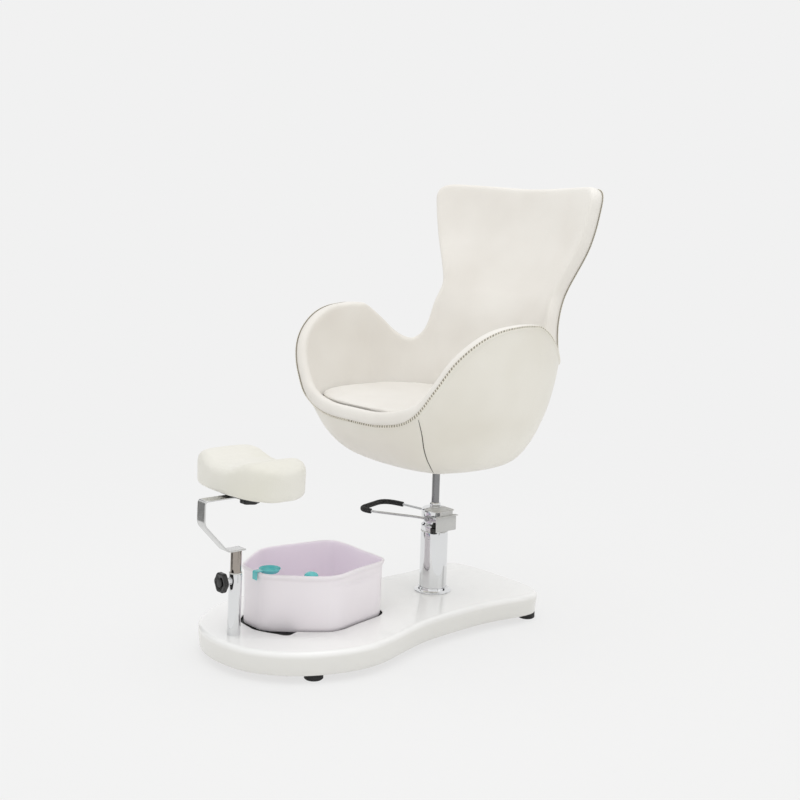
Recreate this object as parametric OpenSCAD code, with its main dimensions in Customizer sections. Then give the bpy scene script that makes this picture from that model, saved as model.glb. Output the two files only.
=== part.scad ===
/* [Platform] */
// Length of the pear-shaped deck, front tip to rear edge
deck_length = 1142; // [1000:1:1300]
// Greatest width of the deck, across the front lobe
deck_width = 604; // [560:1:700]
// Distance from the pump axis to the rear edge of the deck
deck_rear = 310; // [260:1:360]
// Height of the skirt, from its lower edge to the deck
skirt_height = 66; // [55:1:90]
// Wall of the moulded glass-fibre shell
shell_wall = 5; // [3:0.5:7]
// Radius of the rounded edge round the deck
edge_radius = 14; // [6:1:20]
// Depth of the recess that holds the tub
recess_depth = 8; // [4:1:14]
// Thickness of the plywood board inside the shell
board_thickness = 18; // [12:1:24]

/* [Feet] */
// Diameter of each rubber foot
foot_diameter = 55; // [40:1:70]
// Height of each rubber foot below the skirt
foot_height = 22; // [14:1:30]

/* [Pump] */
// Diameter of the chromed pump sleeve
sleeve_diameter = 89; // [80:1:100]
// Height of the sleeve above the deck
sleeve_height = 194; // [160:1:230]
// Wall of the sleeve
sleeve_wall = 3; // [2:0.5:4]
// Diameter of the bell flange at the foot of the sleeve
flange_diameter = 121; // [110:1:140]
// Height of the bell flange
flange_height = 15; // [10:1:25]
// Diameter of the rotating head casting
head_diameter = 88; // [80:1:96]
// Height of the rotating head casting
head_height = 73; // [60:1:90]
// Diameter of the piston rod
rod_diameter = 25; // [20:1:30]
// Bare length of the piston rod between its collar and the seat shell
rod_showing = 92; // [85:1:120]
// Downward travel of the seat from the height shown
lift_down = 70; // [20:1:75]

/* [Lever] */
// Reach of the pedal loop from the pump axis
lever_reach = 248; // [200:1:252]
// Width of the pedal loop at its outer end
lever_width = 152; // [130:1:180]
// Diameter of the lever rod
lever_rod_diameter = 8; // [6:0.5:10]
// Diameter of the foam grip
grip_diameter = 17; // [14:0.5:22]
// Way the lever points, counted from the right-hand side of the deck
lever_turn = 198; // [180:1:225]
// Distance from the lever pivot to the plunger
plunger_reach = 26; // [22:1:32]

/* [Seat] */
// Greatest width of the seat shell over its arms
seat_width = 880; // [800:1:920]
// Height of the seat shell from its underside to the top of the wings
seat_height = 946; // [850:1:1000]
// Reach of the arms ahead of the pump axis
seat_front = 440; // [400:1:460]
// Reach of the top of the back behind the pump axis
seat_rear = 430; // [390:1:460]
// Thickness of the outer leather cover
cover_thickness = 4; // [3:0.5:6]
// Thickness of the moulded core of the shell
core_thickness = 9; // [7:0.5:12]
// Thickness of the padding on the inner side of the walls
pad_thickness = 24; // [18:1:30]
// Height of the rolled edge of the padding over the seam
roll_height = 34; // [24:1:40]
// Height of the foam floor under the seat cushion, from the shell's underside
floor_height = 154; // [140:1:170]
// Thickness of the loose seat cushion at its crown
cushion_thickness = 104; // [85:1:110]

/* [Tub] */
// Width of the foot tub
tub_width = 380; // [340:1:420]
// Length of the foot tub
tub_length = 410; // [380:1:430]
// Height of the foot tub
tub_height = 170; // [140:1:190]
// Wall of the foot tub
tub_wall = 4; // [3:0.5:6]
// Space between the axis of the post and the front edge of the tub
post_space = 85; // [78:1:95]
// Sideways offset of the tub from the middle of the deck
tub_aside = 42; // [0:1:50]

/* [Footrest] */
// Place of the post, as a share of the way from the pump axis to the front tip
post_place_share = 0.9219; // [0.9:0.005:0.93]
// Diameter of the outer post tube
post_diameter = 38; // [32:1:42]
// Wall of the post tubes
post_wall = 1.5; // [1:0.5:2]
// Length of the outer post tube above the deck
post_height = 176; // [150:1:200]
// Diameter of the sliding inner tube
inner_tube_diameter = 32; // [25:1:32]
// Length of the inner tube that shows above the post
inner_showing = 67; // [45:1:70]
// Upward travel of the footrest from the height shown
post_up = 80; // [40:1:90]
// Width of the bent flat bar
strap_width = 40; // [30:1:50]
// Thickness of the bent flat bar
strap_thickness = 5; // [4:0.5:6]
// Distance of the bar's upright ahead of the post
strap_ahead = 124; // [100:1:140]
// Height from the lower arm of the bar to its upper arm
strap_rise = 159; // [130:1:160]
// Width of the foot pad
foot_pad_width = 370; // [300:1:400]
// Depth of the foot pad, front to back
foot_pad_depth = 232; // [200:1:250]
// Thickness of the foot pad at its lobes
foot_pad_thickness = 105; // [90:1:130]
// Diameter of the clamp knobs
knob_diameter = 60; // [50:1:64]

/* [Hidden] */

// Clearances and the overrun of every cut
cut = 1;
slip = 0.05;
gap = 0.3;
seat_gap = 0.4;
layer_gap = 0.5;
padding_gap = 1.2;
rim_gap = 0.9;
round_fine = 64;
round_small = 32;

// Heights
skirt_low = foot_height;
deck_top = skirt_low + skirt_height;
deck_under = deck_top - shell_wall;
recess_floor = deck_top - recess_depth;
board_top = recess_floor - shell_wall;
board_low = board_top - board_thickness;

// Outline of the deck, as shares of its half width and of its length from the front tip,
// from the front tip round the right-hand side to the rear
deck_shares = [[0, 0], [0.34, 0.014], [0.6, 0.053], [0.81, 0.115], [0.945, 0.195], [1, 0.276],
    [0.965, 0.354], [0.84, 0.456], [0.755, 0.540], [0.705, 0.658], [0.69, 0.764], [0.712, 0.835],
    [0.745, 0.893], [0.735, 0.946], [0.64, 0.980], [0.46, 0.995], [0.22, 1], [0, 1]];

// General functions
function flip_x(list) = [for (p = list) [-p[0], p[1]]];
function reversed(list) = [for (i = [len(list) - 1:-1:0]) list[i]];
function unit(v) = v / norm(v);
function blend(a, b, t) = a + (b - a) * t;
function whole_outline(half) = concat(half, reversed(flip_x([for (i = [1:len(half) - 2]) half[i]])));
// A smooth curve through a closed list of points
function curve_point(a, b, c, d, t) =
    ((b * 2) + (c - a) * t + (a * 2 - b * 5 + c * 4 - d) * t * t
    + (b * 3 - a - c * 3 + d) * t * t * t) / 2;
function smooth_loop(list, steps) = let (n = len(list))
    [for (i = [0:n - 1]) for (j = [0:steps - 1])
        curve_point(list[(i + n - 1) % n], list[i], list[(i + 1) % n], list[(i + 2) % n], j / steps)];
// A closed outline with its corners rounded, each starting at the given reach from the corner
function soft_corners(list, reach, steps) = let (n = len(list))
    [for (i = [0:n - 1]) let (p = list[i], a = list[(i + n - 1) % n] - p, b = list[(i + 1) % n] - p,
        ra = min(reach, norm(a) * half_share), rb = min(reach, norm(b) * half_share),
        s = p + unit(a) * ra, e = p + unit(b) * rb)
        for (j = [0:steps]) let (t = j / steps) s * (1 - t) * (1 - t) + p * 2 * t * (1 - t) + e * t * t];
half_share = 0.46;
// The same outline moved inwards
function inset_loop(list, distance) = let (n = len(list))
    [for (i = [0:n - 1]) let (d = unit(list[(i + 1) % n] - list[(i + n - 1) % n]))
        list[i] + [-d[1], d[0]] * distance];
function at_height(list, z) = [for (p = list) [p[0], p[1], z]];

// A solid lofted through rings of equally many points; the ends are capped, or joined for a tube.
// Each side splits its faces the mirrored way, and from the ring numbered back they are split
// the other way round, so that layers lie flat together
module loft(rings, joined = false, back = undef) {
    n = len(rings[0]);
    m = len(rings);
    middles = joined ? [] : [
        [for (k = [0:2]) [for (p = rings[0]) p[k]] * [for (p = rings[0]) 1] / n],
        [for (k = [0:2]) [for (p = rings[m - 1]) p[k]] * [for (p = rings[0]) 1] / n]];
    points = concat([for (r = rings) each r], middles);
    sides = [for (j = [0:(joined ? m - 1 : m - 2)]) for (i = [0:n - 1])
        let (a = j * n + i, b = j * n + (i + 1) % n, c = ((j + 1) % m) * n + (i + 1) % n,
            d = ((j + 1) % m) * n + i)
        each ((i < n / 2) == (is_undef(back) || j < back) ? [[a, d, b], [b, d, c]]
            : [[a, c, b], [a, d, c]])];
    ends = joined ? [] : [for (i = [0:n - 1]) each
        [[m * n, i, (i + 1) % n], [m * n + 1, (m - 1) * n + (i + 1) % n, (m - 1) * n + i]]];
    polyhedron(points = points, faces = concat(sides, ends), convexity = 8);
}

// A round tube swept along a path of points
function tube_ring(path, i, r, sides) =
    let (n = len(path), t = unit(path[min(i + 1, n - 1)] - path[max(i - 1, 0)]),
        u = unit(cross(t, [0, 0, 1])), w = cross(t, u))
    [for (k = [0:sides - 1]) path[i] + (u * cos(360 * k / sides) + w * sin(360 * k / sides)) * r];

// Platform
deck_half = deck_width / 2;
deck_ahead = deck_length - deck_rear;
deck_steps = 3;
deck_outline = smooth_loop([for (p = whole_outline(deck_shares))
    [p[0] * deck_half, p[1] * deck_length - deck_ahead]], deck_steps);
skirt_draft = 6;
edge_steps = 4;
tub_half_shares = [[0, -0.5], [0.29, -0.495], [0.84, -0.2], [1, -0.07], [0.885, 0.14],
    [0.735, 0.47], [0.34, 0.5], [0, 0.5]];
post_ahead = deck_ahead * post_place_share;
tub_ahead = post_ahead - post_space - tub_length / 2;
tub_corner = 34;
tub_corner_steps = 3;
tub_outline = soft_corners([for (p = whole_outline(tub_half_shares))
    [p[0] * tub_width / 2 - tub_aside, p[1] * tub_length - tub_ahead]], tub_corner, tub_corner_steps);
recess_clearance = 5;

function deck_ring(inward, z) = at_height(inset_loop(deck_outline, inward), z);

// The frame's origin is on the floor under the middle of the whole chair, ahead of the pump axis
pump_behind = (post_ahead + strap_ahead - seat_rear) / 2;
module on_frame() {
    translate([0, pump_behind, 0]) children();
}

module platform_shell() {
    color("white") on_frame() difference() {
        union() {
            difference() {
                loft(concat([deck_ring(skirt_draft, skirt_low), deck_ring(0, deck_top - edge_radius)],
                    [for (i = [1:edge_steps]) let (a = 90 * i / edge_steps)
                        deck_ring(edge_radius * (1 - cos(a)), deck_top - edge_radius * (1 - sin(a)))]));
                loft([deck_ring(skirt_draft + shell_wall, skirt_low - cut),
                    deck_ring(edge_radius * half_share + shell_wall, deck_under)]);
            }
            translate([0, 0, recess_floor - shell_wall])
                linear_extrude(recess_depth)
                    polygon(inset_loop(tub_outline, -recess_clearance - shell_wall));
        }
        translate([0, 0, recess_floor])
            linear_extrude(recess_depth + cut)
                polygon(inset_loop(tub_outline, -recess_clearance));
        pump_hole(deck_top - recess_depth, recess_depth * 2);
        translate([0, -post_ahead, deck_top - recess_depth])
            cylinder(h = recess_depth * 2, d = post_diameter + gap * 2, $fn = round_fine);
    }
}

module pump_hole(z, height) {
    translate([0, 0, z])
        cylinder(h = height, d = sleeve_diameter + gap * 2, $fn = round_fine);
}

// Plywood board, which stands on the feet and carries the pump and the post
board_inset = 16;
module base_board() {
    color("burlywood") on_frame() difference() {
        translate([0, 0, board_low])
            linear_extrude(board_thickness)
                polygon(inset_loop(deck_outline, board_inset));
        for (p = foot_places)
            translate([p[0], p[1], board_low - cut])
                cylinder(h = board_thickness + cut * 2, d = foot_screw_diameter, $fn = round_small);
        for (p = pump_bolt_places)
            translate([p[0], p[1], board_low - cut])
                cylinder(h = board_thickness + cut * 2, d = pump_bolt_diameter, $fn = round_small);
        for (p = post_screw_places)
            translate([p[0], p[1], board_low - cut])
                cylinder(h = board_thickness + cut * 2, d = post_screw_diameter, $fn = round_small);
    }
}

// Feet
foot_screw_diameter = 8;
foot_taper = 3;
foot_bore = 20;
foot_head_height = 5;
foot_head_diameter = 16;
foot_web = 6;
foot_stem = 34;
foot_step = 2;
foot_shares = [[0.74, 0.166], [0.6, 0.951]];
foot_places = [for (s = foot_shares) for (side = [-1, 1])
    [side * s[0] * deck_half, s[1] * deck_length - deck_ahead]];
foot_top = board_low;

module rubber_feet() {
    color("black") on_frame() for (p = foot_places)
        translate([p[0], p[1], 0]) rotate_extrude($fn = round_small * 2)
            polygon([[foot_bore / 2, 0], [foot_diameter / 2 - foot_taper, 0], [foot_diameter / 2, foot_taper],
                [foot_diameter / 2, foot_height - foot_step], [foot_stem / 2, foot_height - foot_step],
                [foot_stem / 2, foot_top], [foot_screw_diameter / 2, foot_top],
                [foot_screw_diameter / 2, foot_top - foot_web], [foot_bore / 2, foot_top - foot_web]]);
}

module foot_screws() {
    color("silver") on_frame() for (p = foot_places)
        translate([p[0], p[1], foot_top - foot_web - foot_head_height]) {
            cylinder(h = foot_head_height, d = foot_head_diameter, $fn = round_small);
            translate([0, 0, foot_head_height])
                cylinder(h = foot_web + board_thickness, d = foot_screw_diameter, $fn = round_small);
        }
}

// Pump mounting: a steel plate between the board and the deck, held by four bolts
plate_side = 200;
plate_thickness = recess_depth - gap;
plate_top = board_top + plate_thickness;
pump_bolt_diameter = 10;
pump_bolt_spacing = 150;
bolt_head_height = 7;
bolt_head_diameter = 18;
hex_sides = 6;
pump_bolt_places = [for (x = [-1, 1]) for (y = [-1, 1]) [x, y] * pump_bolt_spacing / 2];

module pump_plate() {
    color("dimgray") on_frame() difference() {
        translate([-plate_side / 2, -plate_side / 2, board_top])
            cube([plate_side, plate_side, plate_thickness]);
        for (p = pump_bolt_places)
            translate([p[0], p[1], board_top - cut])
                cylinder(h = plate_thickness + cut * 2, d = pump_bolt_diameter, $fn = round_small);
    }
}

module pump_bolts() {
    color("silver") on_frame() for (p = pump_bolt_places)
        translate([p[0], p[1], board_low - bolt_head_height]) {
            cylinder(h = bolt_head_height, d = bolt_head_diameter, $fn = hex_sides);
            translate([0, 0, bolt_head_height])
                cylinder(h = board_thickness + plate_thickness, d = pump_bolt_diameter, $fn = round_small);
        }
}

// Pump
sleeve_top = deck_top + sleeve_height;
bell_wall = 3;
// Waist of the bell: its distance out in walls, and its height as a share
bell_shares = [3, 0.6];
module pump_flange() {
    color("gainsboro") on_frame() translate([0, 0, deck_top]) rotate_extrude($fn = round_fine)
        polygon([[sleeve_diameter / 2 + slip, 0], [flange_diameter / 2 - bell_wall / 2, 0],
            [flange_diameter / 2, bell_wall / 2], [flange_diameter / 2 - bell_wall / 2, bell_wall],
            [sleeve_diameter / 2 + bell_wall * bell_shares[0], flange_height * bell_shares[1]],
            [sleeve_diameter / 2 + bell_wall, flange_height],
            [sleeve_diameter / 2 + slip, flange_height]]);
}

module pump_sleeve() {
    color("gainsboro") on_frame() translate([0, 0, plate_top]) difference() {
        cylinder(h = sleeve_top - plate_top, d = sleeve_diameter, $fn = round_fine);
        translate([0, 0, sleeve_wall])
            cylinder(h = sleeve_top - plate_top, d = sleeve_diameter - sleeve_wall * 2, $fn = round_fine);
    }
}

// Plastic bush in the mouth of the sleeve, on which the head turns
bush_flange = 2;
bush_height = 24;
bush_wall = 3;
cylinder_diameter = sleeve_diameter - (sleeve_wall + bush_wall) * 2 - slip * 2;
module swivel_bush() {
    color("whitesmoke") on_frame() translate([0, 0, sleeve_top]) difference() {
        union() {
            cylinder(h = bush_flange, d = sleeve_diameter, $fn = round_fine);
            translate([0, 0, -bush_height])
                cylinder(h = bush_height, d = sleeve_diameter - sleeve_wall * 2, $fn = round_fine);
        }
        translate([0, 0, -bush_height - cut])
            cylinder(h = bush_height + bush_flange + cut * 2, d = cylinder_diameter + slip * 2,
                $fn = round_fine);
    }
}

// Rotating pump cylinder inside the sleeve
head_low = sleeve_top + bush_flange + slip;
head_top = head_low + head_height;
cylinder_low = plate_top + sleeve_wall + gap;
cylinder_wall = 6;
rod_bore = rod_diameter + slip * 2;
module pump_cylinder() {
    color("gray") on_frame() translate([0, 0, cylinder_low]) difference() {
        cylinder(h = head_low - cylinder_low, d = cylinder_diameter, $fn = round_fine);
        translate([0, 0, cylinder_wall])
            cylinder(h = head_low - cylinder_low, d = rod_bore, $fn = round_fine);
    }
}

// Head casting with a side pad that carries the plunger and the lever pivot
pivot_share = 0.6;
pivot_z = head_low + head_height * pivot_share;
pin_diameter = 10;
pin_grip = 14;
barrel_diameter = 24;
barrel_height = 18;
plunger_diameter = 12;
waist_height = 26;
waist_depth = 7;
crown_radius = 5;
lug_clear = 1;
module head_casting() {
    color("gainsboro") on_frame() difference() {
        union() {
            translate([0, 0, head_low]) rotate_extrude($fn = round_fine)
                polygon([[0, 0], [head_diameter / 2, 0], [head_diameter / 2, barrel_height],
                    [head_diameter / 2 - waist_depth, barrel_height + waist_depth],
                    [head_diameter / 2 - waist_depth, barrel_height + waist_height - waist_depth],
                    [head_diameter / 2, barrel_height + waist_height],
                    [head_diameter / 2, head_height - crown_radius],
                    [head_diameter / 2 - crown_radius, head_height], [0, head_height]]);
            rotate([0, 0, lever_turn]) {
                translate([-plunger_reach, rod_line, head_low])
                    cylinder(h = barrel_height, d = barrel_diameter, $fn = round_fine);
                translate([-plunger_reach - barrel_diameter / 2, 0, head_low])
                    cube([barrel_diameter, rod_line, barrel_height]);
            }
        }
        translate([0, 0, head_low - cut])
            cylinder(h = head_height + cut * 2, d = rod_bore, $fn = round_fine);
        rotate([0, 0, lever_turn]) {
            for (side = [-1, 1])
                translate([0, side * (head_diameter / 2 - waist_depth - pin_grip), pivot_z])
                    rotate([-side * 90, 0, 0])
                        cylinder(h = head_diameter, d = pin_diameter, $fn = round_small);
            translate([-plunger_reach, rod_line, head_low + bush_flange])
                cylinder(h = barrel_height, d = plunger_diameter + slip * 2, $fn = round_small);
        }
    }
}

module pivot_pins() {
    color("silver") on_frame() rotate([0, 0, lever_turn]) for (side = [-1, 1])
        translate([0, side * (head_diameter / 2 - waist_depth - pin_grip), pivot_z])
            rotate([-side * 90, 0, 0]) {
                cylinder(h = pin_end - (head_diameter / 2 - waist_depth - pin_grip), d = pin_diameter,
                    $fn = round_small);
                translate([0, 0, pin_end - (head_diameter / 2 - waist_depth - pin_grip)])
                    cylinder(h = pin_head, d = pin_head_diameter, $fn = round_small);
            }
}

// Collar on top of the head, round the rod
collar_diameter = 36;
collar_height = 17;
collar_chamfer = 3;
module rod_collar() {
    color("silver") on_frame() translate([0, 0, head_top]) difference() {
        union() {
            cylinder(h = collar_height - collar_chamfer, d = collar_diameter, $fn = round_fine);
            translate([0, 0, collar_height - collar_chamfer])
                cylinder(h = collar_chamfer, d1 = collar_diameter, d2 = collar_diameter - collar_chamfer * 2,
                    $fn = round_fine);
        }
        translate([0, 0, -cut])
            cylinder(h = collar_height + cut * 2, d = rod_bore, $fn = round_fine);
    }
}

// Folded sheet guard over the side of the linkage
guard_thickness = 2;
guard_length = 86;
guard_reach = 72;
guard_drop = 54;
guard_corner = 16;
guard_flange = 12;
guard_y = -58;
module linkage_cover() {
    color("lightgray") on_frame() {
        difference() {
            translate([0, guard_y, head_top])
                linear_extrude(guard_thickness)
                    offset(r = guard_corner)
                        translate([guard_corner, guard_corner])
                            square([guard_reach - guard_corner * 2, guard_length - guard_corner * 2]);
            translate([0, 0, head_top - cut])
                cylinder(h = guard_thickness + cut * 2, d = collar_diameter + gap * 2, $fn = round_fine);
        }
        translate([guard_reach - guard_thickness, guard_y + guard_corner, head_top - guard_drop])
            cube([guard_thickness, guard_length - guard_corner * 2, guard_drop + guard_thickness]);
        translate([guard_reach - guard_thickness, guard_y, head_top - guard_drop])
            cube([guard_thickness, guard_length, guard_drop - guard_flange]);
        translate([guard_reach - guard_thickness, guard_y, head_top - guard_flange - guard_thickness])
            cube([guard_flange, guard_length, guard_thickness]);
    }
}

// Plunger with its rubber boot
boot_diameter = 18;
boot_rise = 4;
boot_height = 6;
plunger_sink = 12;
link_thickness = 6;
link_height = 16;
dome_z = pivot_z - link_height / 2 - seat_gap * 2 - plunger_diameter / 2;
module plunger() {
    color("black") on_frame() rotate([0, 0, lever_turn]) translate([-plunger_reach, rod_line, 0]) {
        translate([0, 0, head_low + barrel_height - plunger_sink])
            cylinder(h = dome_z - head_low - barrel_height + plunger_sink, d = plunger_diameter,
                $fn = round_small);
        translate([0, 0, dome_z])
            sphere(d = plunger_diameter, $fn = round_small);
        translate([0, 0, head_low + barrel_height + boot_rise])
            cylinder(h = boot_height, d = boot_diameter, $fn = round_small);
    }
}

// Lever: two eyes on the pivot pins, one bent rod, and the tail that works the plunger
tail_length = plunger_reach + boot_diameter / 2;
eye_diameter = 20;
eye_thickness = 7;
eye_start = head_diameter / 2 + lug_clear;
pin_end = eye_start + eye_thickness + seat_gap * 2;
pin_head = 3;
pin_head_diameter = 15;
rod_line = eye_start + eye_thickness / 2;
bend_reach = 42;
rod_sides = 10;
bend_steps = 4;
lever_knee_share = 0.17;
shoulder_share = 1.5;
lever_knee = lever_reach * lever_knee_share;
lever_half = lever_width / 2;
lever_shoulder = lever_reach - bend_reach * shoulder_share;
loop_corners = [[0, rod_line], [lever_knee, rod_line], [lever_shoulder, lever_half],
    [lever_reach, lever_half], [lever_reach, -lever_half], [lever_shoulder, -lever_half],
    [lever_knee, -rod_line], [0, -rod_line]];
function bent_corner(list, i, reach) = let (p = list[i], a = list[i - 1] - p, b = list[i + 1] - p,
    s = p + unit(a) * reach, e = p + unit(b) * reach)
    [for (j = [0:bend_steps]) let (t = j / bend_steps)
        s * (1 - t) * (1 - t) + p * 2 * t * (1 - t) + e * t * t];
knee_reach_share = 0.4;
knee_reach = bend_reach * knee_reach_share;
rod_start_share = 0.3;
rod_start = eye_diameter * rod_start_share;
loop_path = [for (p = concat([[rod_start, rod_line]], bent_corner(loop_corners, 1, knee_reach),
    bent_corner(loop_corners, 2, knee_reach), bent_corner(loop_corners, 3, bend_reach),
    bent_corner(loop_corners, 4, bend_reach), bent_corner(loop_corners, 5, knee_reach),
    bent_corner(loop_corners, 6, knee_reach), [[rod_start, -rod_line]])) [p[0], p[1], 0]];

module on_lever() {
    rotate([0, 0, lever_turn]) translate([0, 0, pivot_z]) children();
}

module lever_loop() {
    color("silver") on_frame() on_lever() difference() {
        union() {
            loft([for (i = [0:len(loop_path) - 1])
                tube_ring(loop_path, i, lever_rod_diameter / 2, rod_sides)]);
            for (side = [-1, 1])
                translate([0, side * rod_line + eye_thickness / 2, 0]) rotate([90, 0, 0])
                    cylinder(h = eye_thickness, d = eye_diameter, $fn = round_small);
            translate([-tail_length, rod_line - link_thickness / 2, -link_height / 2])
                cube([tail_length, link_thickness, link_height]);
        }
        for (side = [-1, 1])
            translate([0, side * rod_line + eye_thickness, 0]) rotate([90, 0, 0])
                cylinder(h = eye_thickness * 2, d = pin_diameter + slip * 2, $fn = round_small);
    }
}

// Foam grip on the outer end of the loop
grip_bore = lever_rod_diameter + slip * 2;
grip_first = 9;
grip_last = 22;
module foam_grip() {
    color("black") on_frame() on_lever() loft(concat(
        [for (i = [grip_first:grip_last]) tube_ring(loop_path, i, grip_diameter / 2, rod_sides)],
        [for (i = [grip_last:-1:grip_first]) tube_ring(loop_path, i, grip_bore / 2 + gap, rod_sides)]),
        joined = true);
}

// Piston rod and seat plate
shell_low = head_top + collar_height + rod_showing;
seat_plate_side = 180;
seat_plate_thickness = 6;
seat_plate_rise = 40;
seat_plate_low = shell_low + seat_plate_rise;
seat_plate_top = seat_plate_low + seat_plate_thickness;
rod_low = cylinder_low + cylinder_wall + gap + lift_down;
module piston_rod() {
    color("silver") on_frame() translate([0, 0, rod_low])
        cylinder(h = seat_plate_low - rod_low, d = rod_diameter, $fn = round_fine);
}

seat_bolt_spacing = 140;
seat_bolt_diameter = 8;
seat_bolt_head = 13;
seat_bolt_head_height = 5;
seat_bolt_places = [for (x = [-1, 1]) for (y = [-1, 1]) [x, y] * seat_bolt_spacing / 2];
module seat_plate() {
    color("dimgray") on_frame() difference() {
        union() {
            translate([-seat_plate_side / 2, -seat_plate_side / 2, seat_plate_low])
                cube([seat_plate_side, seat_plate_side, seat_plate_thickness]);
            translate([0, 0, seat_plate_low - collar_height])
                cylinder(h = collar_height, d = collar_diameter + collar_chamfer * 2, $fn = round_fine);
        }
        translate([0, 0, seat_plate_low - collar_height - cut])
            cylinder(h = collar_height + cut, d = rod_diameter, $fn = round_fine);
        for (p = seat_bolt_places)
            translate([p[0], p[1], seat_plate_low - cut])
                cylinder(h = seat_plate_thickness + cut * 2, d = seat_bolt_diameter, $fn = round_small);
    }
}

module seat_bolts() {
    color("silver") on_frame() for (p = seat_bolt_places)
        translate([p[0], p[1], seat_plate_low - seat_bolt_head_height]) {
            cylinder(h = seat_bolt_head_height, d = seat_bolt_head, $fn = hex_sides);
            translate([0, 0, seat_bolt_head_height])
                cylinder(h = seat_plate_thickness + core_thickness, d = seat_bolt_diameter,
                    $fn = round_small);
        }
}

// Body of the seat shell: its half width, its front reach and its rear reach at shares of its height
rise_shares = [0, 0.010, 0.026, 0.053, 0.085, 0.142, 0.214, 0.290, 0.406, 0.543, 0.636, 0.808, 1];
wide_shares = [0, 0.114, 0.255, 0.491, 0.659, 0.784, 0.882, 0.950, 1, 1, 0.995, 1.236, 1.391];
front_shares = [0, 0.100, 0.239, 0.455, 0.607, 0.736, 0.823, 0.912, 1.006, 1.052, 1.052, 1.052, 1.052];
rear_shares = [0, 0.085, 0.220, 0.395, 0.470, 0.540, 0.590, 0.640, 0.703, 0.745, 0.848, 0.957, 1];
// Smooth reading of a table whose steps are uneven
function table_slope(x, y, i) = let (n = len(x) - 1, a = max(i - 1, 0), b = min(i + 1, n))
    (y[b] - y[a]) / (x[b] - x[a]);
function table_place(x, t) = max([for (i = [0:len(x) - 2]) x[i] <= t ? i : 0]);
function smooth_read(x, y, t) = let (i = table_place(x, t), w = x[i + 1] - x[i], u = (t - x[i]) / w)
    y[i] * (1 + 2 * u) * (1 - u) * (1 - u) + table_slope(x, y, i) * w * u * (1 - u) * (1 - u)
    + y[i + 1] * u * u * (3 - 2 * u) - table_slope(x, y, i + 1) * w * u * u * (1 - u);
function from_table(shares, t) = smooth_read(rise_shares, shares, t);
// How square the front of the body is, as the power of its curve
front_power = 2.7;
function body_point(turn, rise) = turn <= 90
    ? [seat_width / 2 * from_table(wide_shares, rise) * pow(sin(turn), 2 / front_power),
        -seat_front * from_table(front_shares, rise) * pow(cos(turn), 2 / front_power),
        shell_low + rise * seat_height]
    : [seat_width / 2 * from_table(wide_shares, rise) * sin(turn),
        -seat_rear * from_table(rear_shares, rise) * cos(turn),
        shell_low + rise * seat_height];
// Inward direction of the body's surface
turn_step = 2;
rise_step = 0.02;
function side_point(turn, rise) = turn < 0 ? flip_side(body_point(-turn, rise))
    : turn > 180 ? flip_side(body_point(360 - turn, rise)) : body_point(turn, rise);
function flip_side(p) = [-p[0], p[1], p[2]];
function body_inward(turn, rise) = unit(cross(
    side_point(turn, min(1, rise + rise_step)) - side_point(turn, max(0, rise - rise_step)),
    side_point(turn + turn_step, rise) - side_point(turn - turn_step, rise)));
function body_layer(turn, rise, depth) = body_point(turn, rise) + body_inward(turn, rise) * depth;

// Stations round the rim from the middle of the front to the middle of the back:
// the turn at the bottom, the turn at the rim, and the rim's height as a share
rim_shares = [[0, 0, 0.214], [13, 12, 0.216], [28, 27, 0.236], [40, 39, 0.276], [49, 48.5, 0.350],
    [57, 57.5, 0.429], [65, 66.5, 0.486], [73, 74.5, 0.521], [81, 82.5, 0.538], [90, 91, 0.538],
    [103, 104, 0.505], [113, 114, 0.460], [120, 121, 0.430], [126.5, 127.5, 0.418],
    [132, 132.5, 0.428], [137, 136.8, 0.462], [141, 139.2, 0.520], [145, 140.4, 0.607],
    [149, 140, 0.702], [153, 140, 0.808], [157, 140.2, 0.905], [160.5, 141, 0.962], [163.5, 145, 0.984],
    [168, 154, 0.985], [172.5, 163, 0.982], [176.5, 172, 0.978], [180, 180, 0.976]];
// Rows of the shell as shares of each column's height over the underside
row_shares = [0.2, 0.3, 0.4, 0.5, 0.59, 0.67, 0.75, 0.83, 0.915, 1];
row_power = 2;
bottom_share = 0.12;
// Rows of an inner body that ends below the rim, and of the padding's inner side above its floor
plug_rows = [for (i = [0:len(row_shares) - 2]) row_shares[i]];
pad_inner_rows = [for (i = [2:len(row_shares) - 1]) row_shares[i]];
// A column's point on the body: it leaves the bottom at one turn and meets the rim at another
function column_turn(s, v) = s[0] + (s[1] - s[0]) * pow(v, row_power);
function column_rise(s, v) = s[2] * pow(v, row_power);
function column_layer(s, v, depth) = body_layer(column_turn(s, v), column_rise(s, v), depth);
rim_last = len(rim_shares) - 1;
rim_points = [for (s = rim_shares) body_point(s[1], s[2])];
function rim_at(i) = i < 0 ? flip_side(rim_points[-i])
    : i > rim_last ? flip_side(rim_points[2 * rim_last - i]) : rim_points[i];
// The way out of the shell at the rim, across the edge and along the surface
function rim_up(i) = unit(cross(rim_at(i + 1) - rim_at(i - 1),
    body_inward(rim_shares[i][1], rim_shares[i][2])));
function mirrored_ring(half) = concat(half, [for (i = [rim_last - 1:-1:1]) flip_side(half[i])]);
function shell_ring(v, depth) = mirrored_ring([for (s = rim_shares) column_layer(s, v, depth)]);
// A ring beside the rim: raised along the wall and set inwards
roll_places = [[0, 1], [40, 1], [75, 0.5], [130, 0.4], [180, 0.4]];
function rim_ring(up, depth) = mirrored_ring([for (i = [0:rim_last]) let (s = rim_shares[i])
    column_layer(s, 1, depth) + rim_up(i) * (rim_gap + up * lookup(s[1], roll_places))]);

// Depths of the layers, inwards from the outer surface
cover_inner = cover_thickness;
core_outer = cover_inner + layer_gap;
core_inner = core_outer + core_thickness;
pad_outer = core_inner + padding_gap;
pad_inner = pad_outer + pad_thickness;

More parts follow.
